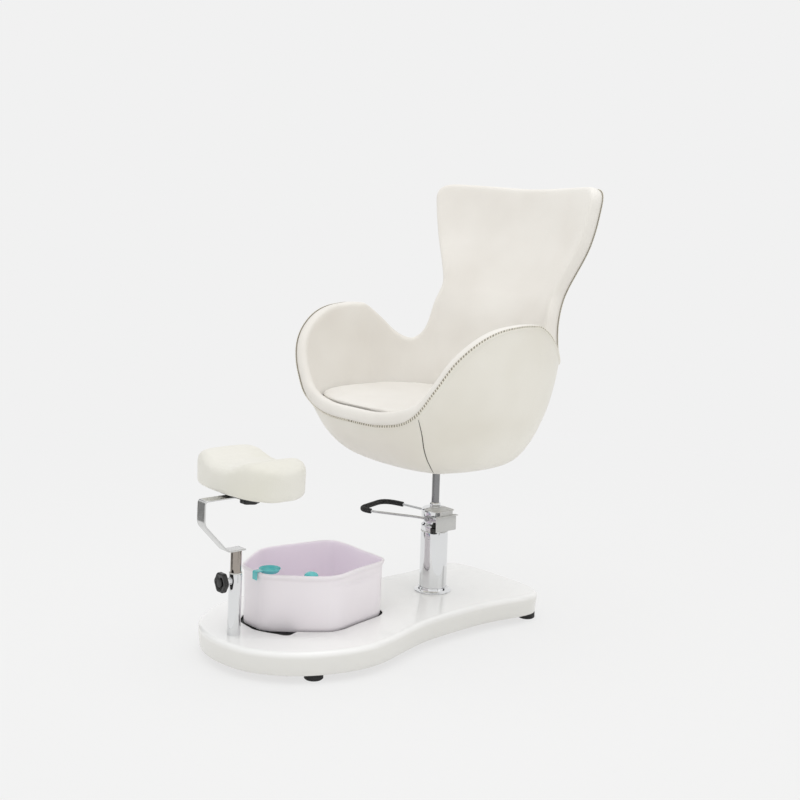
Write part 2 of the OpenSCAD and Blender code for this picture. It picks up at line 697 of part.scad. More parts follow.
module outer_cover() {
    color("ivory") on_frame() difference() {
        loft(concat([shell_ring(bottom_share, 0)], [for (v = row_shares) shell_ring(v, 0)],
            [for (v = reversed(row_shares)) shell_ring(v, cover_inner)],
            [shell_ring(bottom_share, cover_inner)]), back = len(row_shares) + 1);
        translate([0, 0, shell_low - collar_height])
            cylinder(h = collar_height * 2, d = rod_diameter + seat_gap * 2, $fn = round_fine);
    }
}

// A slab across the shell between two heights
slab_side = seat_width * 2;
module slab(low, high) {
    translate([-slab_side / 2, -slab_side / 2, low])
        cube([slab_side, slab_side, high - low]);
}

core_floor_top = seat_plate_top + core_thickness;
module shell_core() {
    color("tan") on_frame() difference() {
        union() {
            loft(concat([for (v = row_shares) shell_ring(v, core_outer)],
                [for (v = reversed(row_shares)) shell_ring(v, core_inner)]), back = len(row_shares));
            intersection() {
                loft([for (v = plug_rows) shell_ring(v, core_outer + core_thickness / 2)]);
                slab(seat_plate_low, core_floor_top);
            }
        }
        slab(shell_low - cut, seat_plate_top);
        for (p = seat_bolt_places)
            translate([p[0], p[1], seat_plate_top - cut])
                cylinder(h = core_thickness + cut * 2, d = seat_bolt_diameter, $fn = round_small);
    }
}

// Padding: its wall, the roll over the rim, and the thick floor under the cushion
// Section of the roll: height, and depth from the outer surface, as shares
roll_shares = [[0.35, -0.08], [0.8, 0.16], [1, 0.5], [0.75, 0.88]];
pad_low = core_floor_top + gap;
pad_top = shell_low + floor_height;
module inner_padding() {
    color("ivory") on_frame() difference() {
        union() {
            loft(concat([for (v = plug_rows) shell_ring(v, pad_outer)],
                [rim_ring(0, pad_outer), rim_ring(0, 0)],
                [for (p = roll_shares) rim_ring(p[0] * roll_height, p[1] * pad_inner)],
                [for (v = reversed(pad_inner_rows)) shell_ring(v, pad_inner)]),
                back = len(plug_rows) + len(roll_shares) + 2);
            intersection() {
                loft([for (v = plug_rows) shell_ring(v, pad_outer + pad_thickness / 2)]);
                slab(seat_plate_low, pad_top);
            }
        }
        slab(shell_low - cut, pad_low);
    }
}

// Plan of the body at a height, drawn inwards on the level
function plan_inward(turn, rise) = let (d = side_point(turn + turn_step, rise)
    - side_point(turn - turn_step, rise)) unit([-d[1], d[0]]);
function plan_point(turn, z, inward) = let (rise = (z - shell_low) / seat_height,
    p = side_point(turn, rise), q = plan_inward(turn, rise) * inward) [p[0] + q[0], p[1] + q[1], z];

// Loose seat cushion: rings from its underside, over the rounded edge, to the crown
cushion_low = shell_low + floor_height + gap;
cushion_inset = 56;
cushion_turn = 9;
// Height, as a share of the thickness, and distance in from the side, as a share of the greatest
cushion_shares = [[0, 0.115], [0.03, 0.03], [0.2, 0], [0.45, 0], [0.68, 0.02], [0.8, 0.065], [0.885, 0.14],
    [0.94, 0.25], [0.975, 0.42], [0.993, 0.66], [1, 0.88]];
cushion_greatest = 240;
module seat_cushion() {
    color("ivory") on_frame() loft([for (s = cushion_shares)
        [for (turn = [0:cushion_turn:360 - cushion_turn]) let (z = cushion_low + s[0] * cushion_thickness,
            p = plan_point(turn > 180 ? turn - 360 : turn, z, cushion_inset + s[1] * cushion_greatest)) p]]);
}

// Foot tub, standing in the recess, with a wavy rim
tub_low = recess_floor;
rim_wave = 2;
rim_waves = 3;
tub_top = tub_low + tub_height;
// Height as a share, inset in walls and share of the wave, outside and then inside
tub_outside = [[0, 1.9, 0], [0.03, 0.7, 0], [0.5, 0.3, 0.2], [0.9, 0, 0.9], [0.94, -1.2, 1], [0.97, -1.6, 1],
    [1, -1.2, 1]];
tub_inside = [[1, 0.2, 1], [0.96, 1, 0.95], [0.5, 2, 0.2], [0.12, 3.2, 0], [0.04, 6, 0], [0.026, 9, 0]];
function tub_ring(s) = let (n = len(tub_outline), ring = inset_loop(tub_outline, s[1] * tub_wall))
    [for (i = [0:n - 1]) [ring[i][0], ring[i][1],
        tub_low + s[0] * tub_height + s[2] * rim_wave * cos(360 * rim_waves * i / n)]];
module tub_basin() {
    color("lavender") on_frame() loft([for (s = concat(tub_outside, tub_inside)) tub_ring(s)]);
}

// Teal dish, hung on the front rim, and teal dome, stuck on the wall by a cup just under the rim
dish_diameter = 66;
dish_height = 12;
dish_wall = 3;
dish_foot_share = 0.78;
hook_width = 22;
hook_thickness = 3;
hook_drop = 22;
hook_reach = 18;
dish_place = [-14, -(tub_ahead + tub_length / 2) + dish_diameter / 2 + hook_drop / 2];
dome_diameter = 42;
dome_rise_share = 0.3;
dome_step = 15;
dome_skirt = 6;
dome_sink_share = 1.25;
dome_low = tub_top - dome_skirt * dome_sink_share;
dome_aside = 6;
dome_off = 30;
cup_diameter = 16;
cup_thickness = 3;
cup_share = 0.765;
cup_off_share = 1.25;
cup_off = tub_wall * cup_off_share;
stem_diameter = 5;
// The wall that carries the dome, from one corner to the next, and the ways along it and inwards
dome_wall = [for (i = [1, 2]) [tub_half_shares[i][0] * tub_width / 2 - tub_aside,
    tub_half_shares[i][1] * tub_length - tub_ahead]];
dome_along = unit(dome_wall[1] - dome_wall[0]);
dome_inward = left_of(dome_along);
cup_middle = dome_wall[0] + (dome_wall[1] - dome_wall[0]) * cup_share;
cup_place = cup_middle + dome_inward * cup_off;
dome_place = cup_middle + dome_along * dome_aside + dome_inward * dome_off;
// Place along the rim, as a share of its way round, where the dish hangs
dish_round = 0.045;
function hang_z(share) = tub_top + rim_wave * cos(360 * rim_waves * share) + gap;
// Flat tongue over the rim, with its drop outside
module rim_hook(reach, z) {
    translate([-reach - hook_thickness, -hook_width / 2, z])
        cube([reach + hook_thickness, hook_width, hook_thickness]);
    translate([-reach - hook_thickness, -hook_width / 2, z - hook_drop])
        cube([hook_thickness, hook_width, hook_drop + hook_thickness]);
}

dish_hook = dish_diameter / 2 + hook_reach;
module soap_dish() {
    z = hang_z(dish_round);
    color("turquoise") on_frame() difference() {
        translate([dish_place[0], dish_place[1], 0]) rotate([0, 0, 90]) {
            rim_hook(dish_hook, z);
            translate([0, 0, z + hook_thickness - dish_height])
                cylinder(h = dish_height, d1 = dish_diameter * dish_foot_share, d2 = dish_diameter,
                    $fn = round_fine);
        }
        translate([dish_place[0], dish_place[1], z + hook_thickness - dish_height + dish_wall])
            cylinder(h = dish_height, d1 = dish_diameter * dish_foot_share - dish_wall,
                d2 = dish_diameter - dish_wall, $fn = round_fine);
    }
}

module rim_dome() {
    color("turquoise") on_frame() {
        translate([dome_place[0], dome_place[1], dome_low]) rotate_extrude($fn = round_fine)
            polygon(concat([[0, -dome_skirt], [dome_diameter / 2, -dome_skirt]],
                [for (a = [0:dome_step:90])
                    [cos(a) * dome_diameter / 2, sin(a) * dome_diameter * dome_rise_share]]));
        translate([cup_place[0], cup_place[1], dome_low - dome_skirt / 2])
            rotate([0, 90, atan2(dome_inward[1], dome_inward[0])]) {
                cylinder(h = cup_thickness, d = cup_diameter, $fn = round_small);
                cylinder(h = dome_off - cup_off, d = stem_diameter, $fn = round_small);
            }
    }
}

// Post of the footrest
post_top = deck_top + post_height;
post_inner = post_diameter - post_wall * 2;
socket_diameter = 80;
socket_height = 4;
socket_collar = 5;
post_screw_diameter = 5;
post_screw_head = 10;
post_screw_spacing = 46;
post_screw_places = [for (x = [-1, 1]) for (y = [-1, 1])
    [x * post_screw_spacing / 2, y * post_screw_spacing / 2 - post_ahead]];
module at_post() {
    translate([0, -post_ahead, 0]) children();
}

module post_socket() {
    color("dimgray") on_frame() difference() {
        at_post() translate([0, 0, board_top]) {
            cylinder(h = socket_height, d = socket_diameter, $fn = round_fine);
            cylinder(h = plate_thickness, d = post_diameter + socket_collar * 2, $fn = round_fine);
        }
        at_post() translate([0, 0, board_top - cut])
            cylinder(h = plate_thickness + cut * 2, d = post_diameter, $fn = round_fine);
        for (p = post_screw_places)
            translate([p[0], p[1], board_top - cut])
                cylinder(h = socket_height + cut * 2, d = post_screw_diameter, $fn = round_small);
    }
}

post_screw_head_height = 3;
module post_screws() {
    color("silver") on_frame() for (p = post_screw_places)
        translate([p[0], p[1], board_low]) {
            cylinder(h = board_thickness + socket_height, d = post_screw_diameter, $fn = round_small);
            translate([0, 0, board_thickness + socket_height])
                cylinder(h = post_screw_head_height, d = post_screw_head, $fn = round_small);
        }
}

knob_drop = 20;
knob_z = deck_top + post_height - knob_drop;
stud_diameter = 10;
boss_diameter = 22;
boss_length = 20;
boss_bore = stud_diameter + slip * 2;
module post_tube() {
    color("gainsboro") on_frame() difference() {
        at_post() translate([0, 0, board_top])
            cylinder(h = post_top - board_top, d = post_diameter, $fn = round_fine);
        at_post() translate([0, 0, board_top - cut])
            cylinder(h = post_top - board_top + cut * 2, d = post_inner, $fn = round_fine);
        at_post() translate([0, 0, knob_z]) rotate([90, 0, 0])
            cylinder(h = post_diameter, d = boss_bore, $fn = round_small);
    }
}

module post_boss() {
    color("silver") on_frame() difference() {
        at_post() translate([0, 0, knob_z]) rotate([90, 0, 0])
            cylinder(h = post_diameter / 2 + boss_length, d = boss_diameter, $fn = round_fine);
        at_post() translate([0, 0, knob_z - boss_diameter])
            cylinder(h = boss_diameter * 2, d = post_diameter, $fn = round_fine);
        at_post() translate([0, 0, knob_z]) rotate([90, 0, 0])
            cylinder(h = post_diameter + boss_length, d = boss_bore, $fn = round_small);
    }
}

// Bush in the mouth of the post, above the clamping stud
bush_lip = 3;
bush_slot = 12;
module post_bush() {
    color("whitesmoke") on_frame() at_post() rotate_extrude($fn = round_fine)
        polygon([[inner_tube_diameter / 2 + slip, post_top - bush_slot],
            [post_inner / 2, post_top - bush_slot], [post_inner / 2, post_top],
            [post_diameter / 2, post_top], [post_diameter / 2, post_top + bush_lip],
            [inner_tube_diameter / 2 + slip, post_top + bush_lip]]);
}

// Inner tube, with the bent bar on top
inner_top = post_top + inner_showing;
tube_grip = 47;
inner_length = inner_showing + post_up + tube_grip;
inner_wall = 2;
module inner_tube() {
    color("gainsboro") on_frame() at_post() translate([0, 0, inner_top - inner_length]) difference() {
        cylinder(h = inner_length, d = inner_tube_diameter, $fn = round_fine);
        translate([0, 0, -cut])
            cylinder(h = inner_length - inner_wall, d = inner_tube_diameter - inner_wall * 2,
                $fn = round_fine);
    }
}

// Bent flat bar, drawn as its side view, with the front to the right
strap_back = 20;
bend_radius = 12;
pad_stud_back = 41;
strap_end = 24;
slope_share = 0.55;
slope_start = 40;
strap_line = [[-strap_back, 0], [slope_start, 0], [strap_ahead, strap_rise * slope_share],
    [strap_ahead, strap_rise], [-pad_stud_back - strap_end, strap_rise]];
strap_low = inner_top;
function left_of(d) = [-d[1], d[0]];
// The line's point moved sideways, with the mitre of its two neighbours
function mitre(list, i, distance) = let (n = len(list) - 1,
    a = unit(list[min(i, n - 1) + 1] - list[min(i, n - 1)]),
    b = unit(list[max(i, 1)] - list[max(i, 1) - 1]),
    m = unit(left_of(a) + left_of(b))) list[i] + m * distance / (m * left_of(a));
function rounded_line(list, reach, steps) = [for (i = [0:len(list) - 1])
    let (p = list[i], first = i == 0, last = i == len(list) - 1)
    each (first || last ? [p] : let (s = p + unit(list[i - 1] - p) * reach,
        e = p + unit(list[i + 1] - p) * reach) [for (j = [0:steps]) let (t = j / steps)
        s * (1 - t) * (1 - t) + p * 2 * t * (1 - t) + e * t * t])];
strap_soft = rounded_line(strap_line, bend_radius * 2, bend_steps);
module strap_bar() {
    color("silver") on_frame() difference() {
        translate([strap_width / 2, -post_ahead, strap_low])
            rotate([90, 0, -90])
                linear_extrude(strap_width) polygon(concat(
                    [for (i = [0:len(strap_soft) - 1]) mitre(strap_soft, i, 0)],
                    [for (i = [len(strap_soft) - 1:-1:0]) mitre(strap_soft, i, strap_thickness)]));
        translate([0, -post_ahead + pad_stud_back, strap_low + strap_rise - strap_thickness * 2])
            cylinder(h = strap_thickness * 3, d = stud_diameter + slip * 2, $fn = round_small);
    }
}

// Foot pad
pad_board_low = strap_low + strap_rise + gap;
pad_board_thickness = 8;
foot_pad_low = pad_board_low + pad_board_thickness;
pad_middle = -post_ahead + pad_stud_back;
pad_power = 3;
// Height of the pad's top as shares of its thickness, from its middle to its end
top_shares = [[0, 0.79], [0.25, 0.85], [0.45, 0.965], [0.62, 1], [0.8, 0.95], [0.92, 0.86], [1, 0.72]];
pad_slices = [0.985, 0.95, 0.88, 0.78, 0.68, 0.56, 0.44, 0.32, 0.2, 0.09];
pad_slice_list = concat([for (s = pad_slices) -s], [0], reversed(pad_slices));
function pad_depth_at(s) = foot_pad_depth / 2 * pow(1 - pow(abs(s), pad_power), 1 / pad_power);
side_share = 0.42;
under_share = 0.12;
side_power = 0.45;
crown_power = 0.55;
slice_step = 15;
function pad_slice(s) = let (d = pad_depth_at(s), top = foot_pad_thickness * lookup(abs(s), top_shares),
    waist = top * side_share)
    [for (a = [0:slice_step:360 - slice_step]) [s * foot_pad_width / 2,
        pad_middle + d * sign(cos(a)) * pow(abs(cos(a)), side_power),
        foot_pad_low + (a <= 180 ? waist + (top - waist) * pow(sin(a), crown_power)
            : waist * (1 - pow(-sin(a), under_share)))]];
module pad_cushion() {
    color("ivory") on_frame() loft([for (s = pad_slice_list) pad_slice(s)]);
}

board_share = 0.8;
board_points = 40;
module pad_board() {
    color("black") on_frame() difference() {
        translate([0, pad_middle, pad_board_low]) linear_extrude(pad_board_thickness) polygon(
            [for (i = [0:board_points - 1]) let (a = 360 * i / board_points)
                [foot_pad_width / 2 * board_share * sign(cos(a)) * pow(abs(cos(a)), 2 / pad_power),
                foot_pad_depth / 2 * board_share * sign(sin(a)) * pow(abs(sin(a)), 2 / pad_power)]]);
        translate([0, pad_middle, pad_board_low - cut])
            cylinder(h = pad_board_thickness - board_web + cut, d = stud_diameter + stud_flange,
                $fn = round_small);
    }
}

// Stud with a flange that holds it in the board
stud_flange = 14;
board_web = 1;
stud_drop = 26;
module pad_stud() {
    color("silver") on_frame() translate([0, pad_middle, 0]) {
        translate([0, 0, pad_board_low - stud_drop])
            cylinder(h = stud_drop, d = stud_diameter, $fn = round_small);
        translate([0, 0, pad_board_low])
            cylinder(h = pad_board_thickness - board_web, d = stud_diameter + stud_flange,
                $fn = round_small);
    }
}

// Star knobs
knob_height = 14;
knob_lobes = 6;
lobe_depth = 1.4;
knob_points = 60;
pad_knob_diameter = 58;
module star(diameter) {
    polygon([for (i = [0:knob_points - 1]) let (a = 360 * i / knob_points,
        r = diameter / 2 - lobe_depth * (1 - cos(a * knob_lobes))) [r * cos(a), r * sin(a)]]);
}

knob_hub = 24;
stud_tip = inner_tube_diameter / 2 + gap;
knob_start = post_diameter / 2 + boss_length + seat_gap * 2;
module post_knob() {
    color("black") on_frame() at_post() translate([0, 0, knob_z]) rotate([90, 0, 0]) {
        translate([0, 0, stud_tip])
            cylinder(h = knob_start - stud_tip, d = stud_diameter, $fn = round_small);
        translate([0, 0, knob_start])
            linear_extrude(knob_height) star(knob_diameter);
        translate([0, 0, knob_start + knob_height])
            cylinder(h = lobe_depth, d1 = knob_hub + lobe_depth * 2, d2 = knob_hub, $fn = round_small);
    }
}

module pad_knob() {
    color("black") on_frame() difference() {
        translate([0, pad_middle, strap_low + strap_rise - strap_thickness - seat_gap * 2 - knob_height])
            linear_extrude(knob_height) star(pad_knob_diameter);
        translate([0, pad_middle, pad_board_low - stud_drop - seat_gap])
            cylinder(h = stud_drop, d = stud_diameter + slip * 2, $fn = round_small);
    }
}

platform_shell();
base_board();
rubber_feet();
foot_screws();
pump_plate();
pump_bolts();
pump_flange();
pump_sleeve();
swivel_bush();
head_casting();
pump_cylinder();
rod_collar();
linkage_cover();
pivot_pins();
plunger();
lever_loop();
foam_grip();
piston_rod();
seat_plate();
seat_bolts();
shell_core();
outer_cover();
inner_padding();
seat_cushion();
tub_basin();
soap_dish();
rim_dome();
post_socket();
post_screws();
post_tube();
post_boss();
post_bush();
inner_tube();
strap_bar();
pad_cushion();
pad_board();
pad_stud();
post_knob();
pad_knob();
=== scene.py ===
# %% [markdown]
# # A pedicure chair on its deck
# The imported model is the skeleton: every piece below goes where its solids are. This notebook
# dresses it, one piece at a time, in the way a maker would name the pieces.

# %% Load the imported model
import bisect
import math

import bmesh
import bpy
from mathutils import Matrix, Vector, noise


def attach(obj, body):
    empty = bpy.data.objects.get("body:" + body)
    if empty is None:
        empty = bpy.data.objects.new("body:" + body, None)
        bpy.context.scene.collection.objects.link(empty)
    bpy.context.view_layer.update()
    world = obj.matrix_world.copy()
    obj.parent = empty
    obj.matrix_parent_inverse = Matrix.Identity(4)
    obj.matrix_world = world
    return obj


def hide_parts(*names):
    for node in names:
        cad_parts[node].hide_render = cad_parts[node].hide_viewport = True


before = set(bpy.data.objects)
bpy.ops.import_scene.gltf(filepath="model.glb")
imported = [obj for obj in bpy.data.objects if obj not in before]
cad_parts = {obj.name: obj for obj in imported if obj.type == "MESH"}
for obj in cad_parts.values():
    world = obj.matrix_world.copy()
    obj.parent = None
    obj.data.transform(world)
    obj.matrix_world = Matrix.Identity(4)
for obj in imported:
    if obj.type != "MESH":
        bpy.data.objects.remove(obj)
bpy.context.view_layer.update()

# %% [markdown]
# The pieces are drawn in millimetres from the pump's axis on the floor, as on a maker's drawing,
# with the chair facing -Y. One matrix takes a finished drawing to metres and to its place in the
# frame.

# %% Units and the drawing's place in the frame
PUMP_BACK = 0.23051
TO_FRAME = Matrix.Translation((0, PUMP_BACK, 0)) @ Matrix.Scale(0.001, 4)
MERGE_MM = 0.002
SHARP_DEGREES = 38
scene = bpy.context.scene


def new_object(name, bm, materials=()):
    """A finished bmesh as an object in the scene."""
    mesh = bpy.data.meshes.new(name)
    bm.to_mesh(mesh)
    bm.free()
    for material in materials:
        mesh.materials.append(material)
    made = bpy.data.objects.new(name, mesh)
    scene.collection.objects.link(made)
    return made


def new_piece(name, bm, body, materials, replaced=()):
    """A finished bmesh, in millimetres, becomes a piece that rides on a body."""
    bmesh.ops.remove_doubles(bm, verts=bm.verts, dist=MERGE_MM)
    bmesh.ops.recalc_face_normals(bm, faces=bm.faces)
    bmesh.ops.transform(bm, matrix=TO_FRAME, verts=bm.verts)
    piece = new_object(name, bm, materials)
    for polygon in piece.data.polygons:
        polygon.use_smooth = True
    piece.data.set_sharp_from_angle(angle=math.radians(SHARP_DEGREES))
    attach(piece, body)
    if replaced:
        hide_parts(*replaced)
    print(f"{name}: {len(piece.data.polygons)} faces on {body}")
    return piece


# %% [markdown]
# ## Camera, light and ground
# The photograph was taken from the front left of the sitter, level, with a long lens and the film
# shifted. The studio is white all round, so the ground and the world look the same pale grey to the
# camera, while the lamps stay at a plain level.

# %% Camera
CAMERA_PLACE = Vector((3.191, -2.891 + PUMP_BACK, 1.361))
LOOK = Vector((-0.7604, 0.6494, 0)).normalized()
SIDE = Vector((LOOK.y, -LOOK.x, 0))
ROLL = math.radians(1.9)
camera_up = math.cos(ROLL) * Vector((0, 0, 1)) - math.sin(ROLL) * SIDE
camera_side = math.cos(ROLL) * SIDE + math.sin(ROLL) * Vector((0, 0, 1))
lens = bpy.data.cameras.new("long_lens")
lens.sensor_width = 36
lens.lens = 59.4
lens.shift_x = -0.0084
lens.shift_y = -0.2525
camera = bpy.data.objects.new("camera", lens)
camera.matrix_world = Matrix.Translation(CAMERA_PLACE) @ Matrix(
    (camera_side, camera_up, -LOOK)).transposed().to_4x4()
scene.collection.objects.link(camera)
scene.camera = camera
print("camera height, m:", round(CAMERA_PLACE.z, 3))


# %% [markdown]
# One function adds a node with its settings and its links. The small ones after it call it for what
# most finishes need: blotches of a size in millimetres, a value spread over a range, a colour
# between two others, and fine relief. A colour is written as it looks on a screen, and is turned
# into the linear light that a shader wants.

# %% Colour and node helpers
def linear(hex_colour):
    """An sRGB colour such as #E5E3DC as linear red, green, blue and alpha."""
    parts = [int(hex_colour[i:i + 2], 16) / 255 for i in (1, 3, 5)]
    return [c / 12.92 if c <= 0.04045 else ((c + 0.055) / 1.055) ** 2.4 for c in parts] + [1]


def add(tree, kind, settings=None, links=None):
    """A node of a kind; settings go to its attributes or sockets, links come from other sockets."""
    node = tree.nodes.new(kind)
    for key, value in (settings or {}).items():
        if isinstance(key, str) and hasattr(node, key):
            setattr(node, key, value)
        else:
            node.inputs[key].default_value = value
    for key, source in (links or {}).items():
        tree.links.new(source, node.inputs[key])
    return node


def emptied(owner):
    """The node tree of a material or a world, without the nodes that it starts with."""
    owner.use_nodes = True
    owner.node_tree.nodes.clear()
    return owner.node_tree


def new_material(name, settings):
    """A material with one principled shader, whose constants are set on its own sockets."""
    material = bpy.data.materials.new(name)
    tree = emptied(material)
    shader = add(tree, "ShaderNodeBsdfPrincipled", settings)
    add(tree, "ShaderNodeOutputMaterial", {}, {"Surface": shader.outputs["BSDF"]})
    return material, tree, shader, add(tree, "ShaderNodeTexCoord").outputs["Object"]


def wire(tree, shader, links):
    """Links outputs to the shader's sockets by name."""
    for name, source in links.items():
        tree.links.new(source, shader.inputs[name])


def blotches(tree, vector, size_mm, detail, rough=0.5, distortion=0):
    """A noise whose blotches have a size in millimetres."""
    return add(tree, "ShaderNodeTexNoise", {"Scale": 1000 / size_mm, "Detail": detail,
               "Roughness": rough, "Distortion": distortion}, {"Vector": vector}).outputs[0]


def spread(tree, value, low, high, start=0.3, end=0.7):
    """A value that goes from low to high while another goes from start to end."""
    return add(tree, "ShaderNodeMapRange", {"From Min": start, "From Max": end, "To Min": low,
               "To Max": high}, {"Value": value}).outputs[0]


def mixed(tree, share, first, second):
    """A colour between two, each of them a colour as on a screen or the output of a node."""
    sides = {6: first, 7: second}
    plain = {key: linear(side) for key, side in sides.items() if isinstance(side, str)}
    linked = {key: side for key, side in sides.items() if not isinstance(side, str)}
    return add(tree, "ShaderNodeMix", {"data_type": "RGBA"} | plain, {0: share} | linked).outputs[2]


def relief(tree, height, strength, depth, under=None, invert=False):
    """Fine relief, in metres, on top of the relief under it."""
    return add(tree, "ShaderNodeBump", {"Strength": strength, "Distance": depth, "invert": invert},
               {"Height": height} | ({"Normal": under} if under is not None else {})).outputs[0]


# %% [markdown]
# The ground is pale and matt. To the camera and in reflections most of it glows in the colour of
# the photograph's background, and the rest is lit, so that the chair keeps its soft shadow.

# %% Ground, world and lamps
BACKGROUND = "#F1F1F1"
GROUND_GLOW = 0.8
GLOW_GROWS_FROM = 1.0
GLOW_ALL_FROM = 3.6
GROUND_HALF = 14
WORLD_STRENGTH = 0.93
scene.view_settings.view_transform = "Standard"


def seen_share(tree):
    """1 for what the camera sees, also mirrored or through glass, and 0 for falling light."""
    rays = add(tree, "ShaderNodeLightPath").outputs
    seen = rays["Is Camera Ray"]
    for kind in ("Is Glossy Ray", "Is Transmission Ray"):
        seen = add(tree, "ShaderNodeMath", {"operation": "MAXIMUM"},
                   {0: seen, 1: rays[kind]}).outputs[0]
    return seen


ground_material = bpy.data.materials.new("studio_ground")
tree = emptied(ground_material)
# Away from the chair the glow takes over, so that no horizon shows
coords = add(tree, "ShaderNodeTexCoord").outputs["Object"]
away = add(tree, "ShaderNodeVectorMath", {"operation": "LENGTH"}, {0: coords}).outputs["Value"]
glow_share = spread(tree, away, GROUND_GLOW, 1, GLOW_GROWS_FROM, GLOW_ALL_FROM)
share = add(tree, "ShaderNodeMath", {"operation": "MULTIPLY"}, {0: seen_share(tree), 1: glow_share})
matt = add(tree, "ShaderNodeBsdfDiffuse", {"Color": linear("#F4F4F3")})
glow = add(tree, "ShaderNodeEmission", {"Color": linear(BACKGROUND), "Strength": 1})
both = add(tree, "ShaderNodeMixShader", {},
           {0: share.outputs[0], 1: matt.outputs[0], 2: glow.outputs[0]})
add(tree, "ShaderNodeOutputMaterial", {}, {"Surface": both.outputs[0]})

ground_bm = bmesh.new()
bmesh.ops.create_grid(ground_bm, x_segments=4, y_segments=4, size=GROUND_HALF)
new_object("ground", ground_bm, [ground_material])

world = bpy.data.worlds.new("studio")
scene.world = world
tree = emptied(world)
plain = add(tree, "ShaderNodeBackground", {"Color": linear("#FFFFFF"), "Strength": WORLD_STRENGTH})
pale = add(tree, "ShaderNodeBackground", {"Color": linear(BACKGROUND), "Strength": 1})
both = add(tree, "ShaderNodeMixShader", {},
           {0: seen_share(tree), 1: plain.outputs[0], 2: pale.outputs[0]})
add(tree, "ShaderNodeOutputWorld", {}, {"Surface": both.outputs[0]})

# name: place, watts, width, height
LAMPS = {
    "overhead_box": ((0.2, -0.2, 3.4), 22, 3.0, 3.0),
    "front_box": ((1.2, -3.6, 2.2), 2, 2.2, 2.2),
    "side_box": ((3.6, 0.6, 2.0), 3, 1.8, 2.2),
}
LIT_POINT = Vector((0, 0.1, 0.6))
for name, (place, watts, width, height) in LAMPS.items():
    light = bpy.data.lights.new(name, "AREA")
    light.shape = "RECTANGLE"
    light.size = width
    light.size_y = height
    light.energy = watts
    lamp = bpy.data.objects.new(name, light)
    lamp.location = place
    lamp.rotation_euler = (LIT_POINT - Vector(place)).to_track_quat("-Z", "Y").to_euler()
    scene.collection.objects.link(lamp)
print("lamps:", len(LAMPS))

# %% [markdown]
# Chrome shows nothing but its surroundings, and in an all white room it would vanish. Four tall
# dark cards stand round the chair, as a product photographer places them, and a low mid-grey one
# stands to the left of the footrest, for the face of the bent bar. Only reflections see them.

# %% Reflection cards
black_card = new_material("matt_black_card", {"Base Color": linear("#1A1A1A"), "Roughness": 0.9})[0]
grey_card = new_material("matt_grey_card", {"Base Color": linear("#8E8E8E"), "Roughness": 0.9})[0]
# name: place, width, height, finish
CARDS = {
    "left_card": ((-0.9, -3.6, 1.2), 0.2, 3.2, black_card),
    "right_card": ((3.9, 0.1, 1.2), 0.3, 3.2, black_card),
    "back_card": ((2.2, 3.2, 1.2), 1.2, 3.2, black_card),
    "far_card": ((-3.4, -0.6, 1.2), 1.2, 3.2, black_card),
    "low_card": ((-0.95, -1.5, 0.45), 1.5, 0.9, grey_card),
}
for name, (place, width, height, finish) in CARDS.items():
    bm = bmesh.new()
    bmesh.ops.create_grid(bm, x_segments=1, y_segments=1, size=0.5)
    turn = math.atan2(place[1], place[0])
    bmesh.ops.transform(bm, matrix=Matrix.Translation(place) @ Matrix.Rotation(turn, 4, "Z")
                        @ Matrix.Rotation(math.radians(90), 4, "Y")
                        @ Matrix.Diagonal((height, width, 1, 1)), verts=bm.verts)
    card = new_object(name, bm, [finish])
    card.visible_camera = False
    card.visible_diffuse = False
    card.visible_shadow = False
print("cards:", len(CARDS))


# %% [markdown]
# ## Finishes
# Each one starts from what the real stuff is and how it was made. Patterns read Object coordinates,
# in metres, so a scale of 1000 divided by a size in millimetres gives that size.

# %% [markdown]
# The shell and the cushions are covered with soft polyurethane leather, cream white, with a pebbled
# grain. The real grain is under a millimetre; it is drawn 3 mm wide, because a pixel of the picture
# is 3 mm. Under it lie slow hollows from the foam, and the tone shifts a little from hide to hide.

# %% Leather
def leather(name, tone, shade, grain_mm, rough):
    """Pebbled leather with soft hollows and a slow change of tone."""
    material, tree, shader, coords = new_material(
        name, {"Roughness": rough, "IOR": 1.5, "Sheen Weight": 0.15, "Sheen Roughness": 0.5})
    pebble = add(tree, "ShaderNodeTexVoronoi", {"feature": "SMOOTH_F1", "Scale": 1000 / grain_mm,
                 "Smoothness": 0.7, "Randomness": 1}, {"Vector": coords}).outputs["Distance"]
    drift = spread(tree, blotches(tree, coords, 260, 2), 0, 1, 0.35, 0.65)
    hide = mixed(tree, drift, tone, shade)
    # The tone darkens a little in the valleys between the pebbles
    darker_between_pebbles = mixed(tree, spread(tree, pebble, 0, 0.16, 0, 0.6), hide, shade)
    hollows = relief(tree, blotches(tree, coords, 95, 2, rough=0.4), 0.5, 0.003)
    pebbles = relief(tree, pebble, 0.35, 0.0005, under=hollows, invert=True)
    pores = relief(tree, blotches(tree, coords, grain_mm * 0.45, 3), 0.15, 0.0003, under=pebbles)
    wire(tree, shader, {"Base Color": darker_between_pebbles, "Normal": pores})
    return material


shell_leather = leather("cream_pu_leather_outside", "#E7E4DB", "#DFDBD0", 3.2, 0.46)
seat_leather = leather("cream_pu_leather_inside", "#E9E6E0", "#E1DDD6", 3.0, 0.5)
pad_leather = leather("cream_pu_leather_pad", "#E4E2DA", "#DDDBCF", 2.8, 0.48)
print("materials so far:", len(bpy.data.materials))


# %% [markdown]
# The deck is a moulded glass-fibre shell with a polished gel coat: hard, wet looking, with the
# faint orange peel that a mould leaves every 12 mm or so.

# %% Gel coat, plastics and rubber
PATCH_MM = 140
SMEAR_MM = 38
SHADED_TOWARDS_FLOOR_M = (0.086, 0.07)


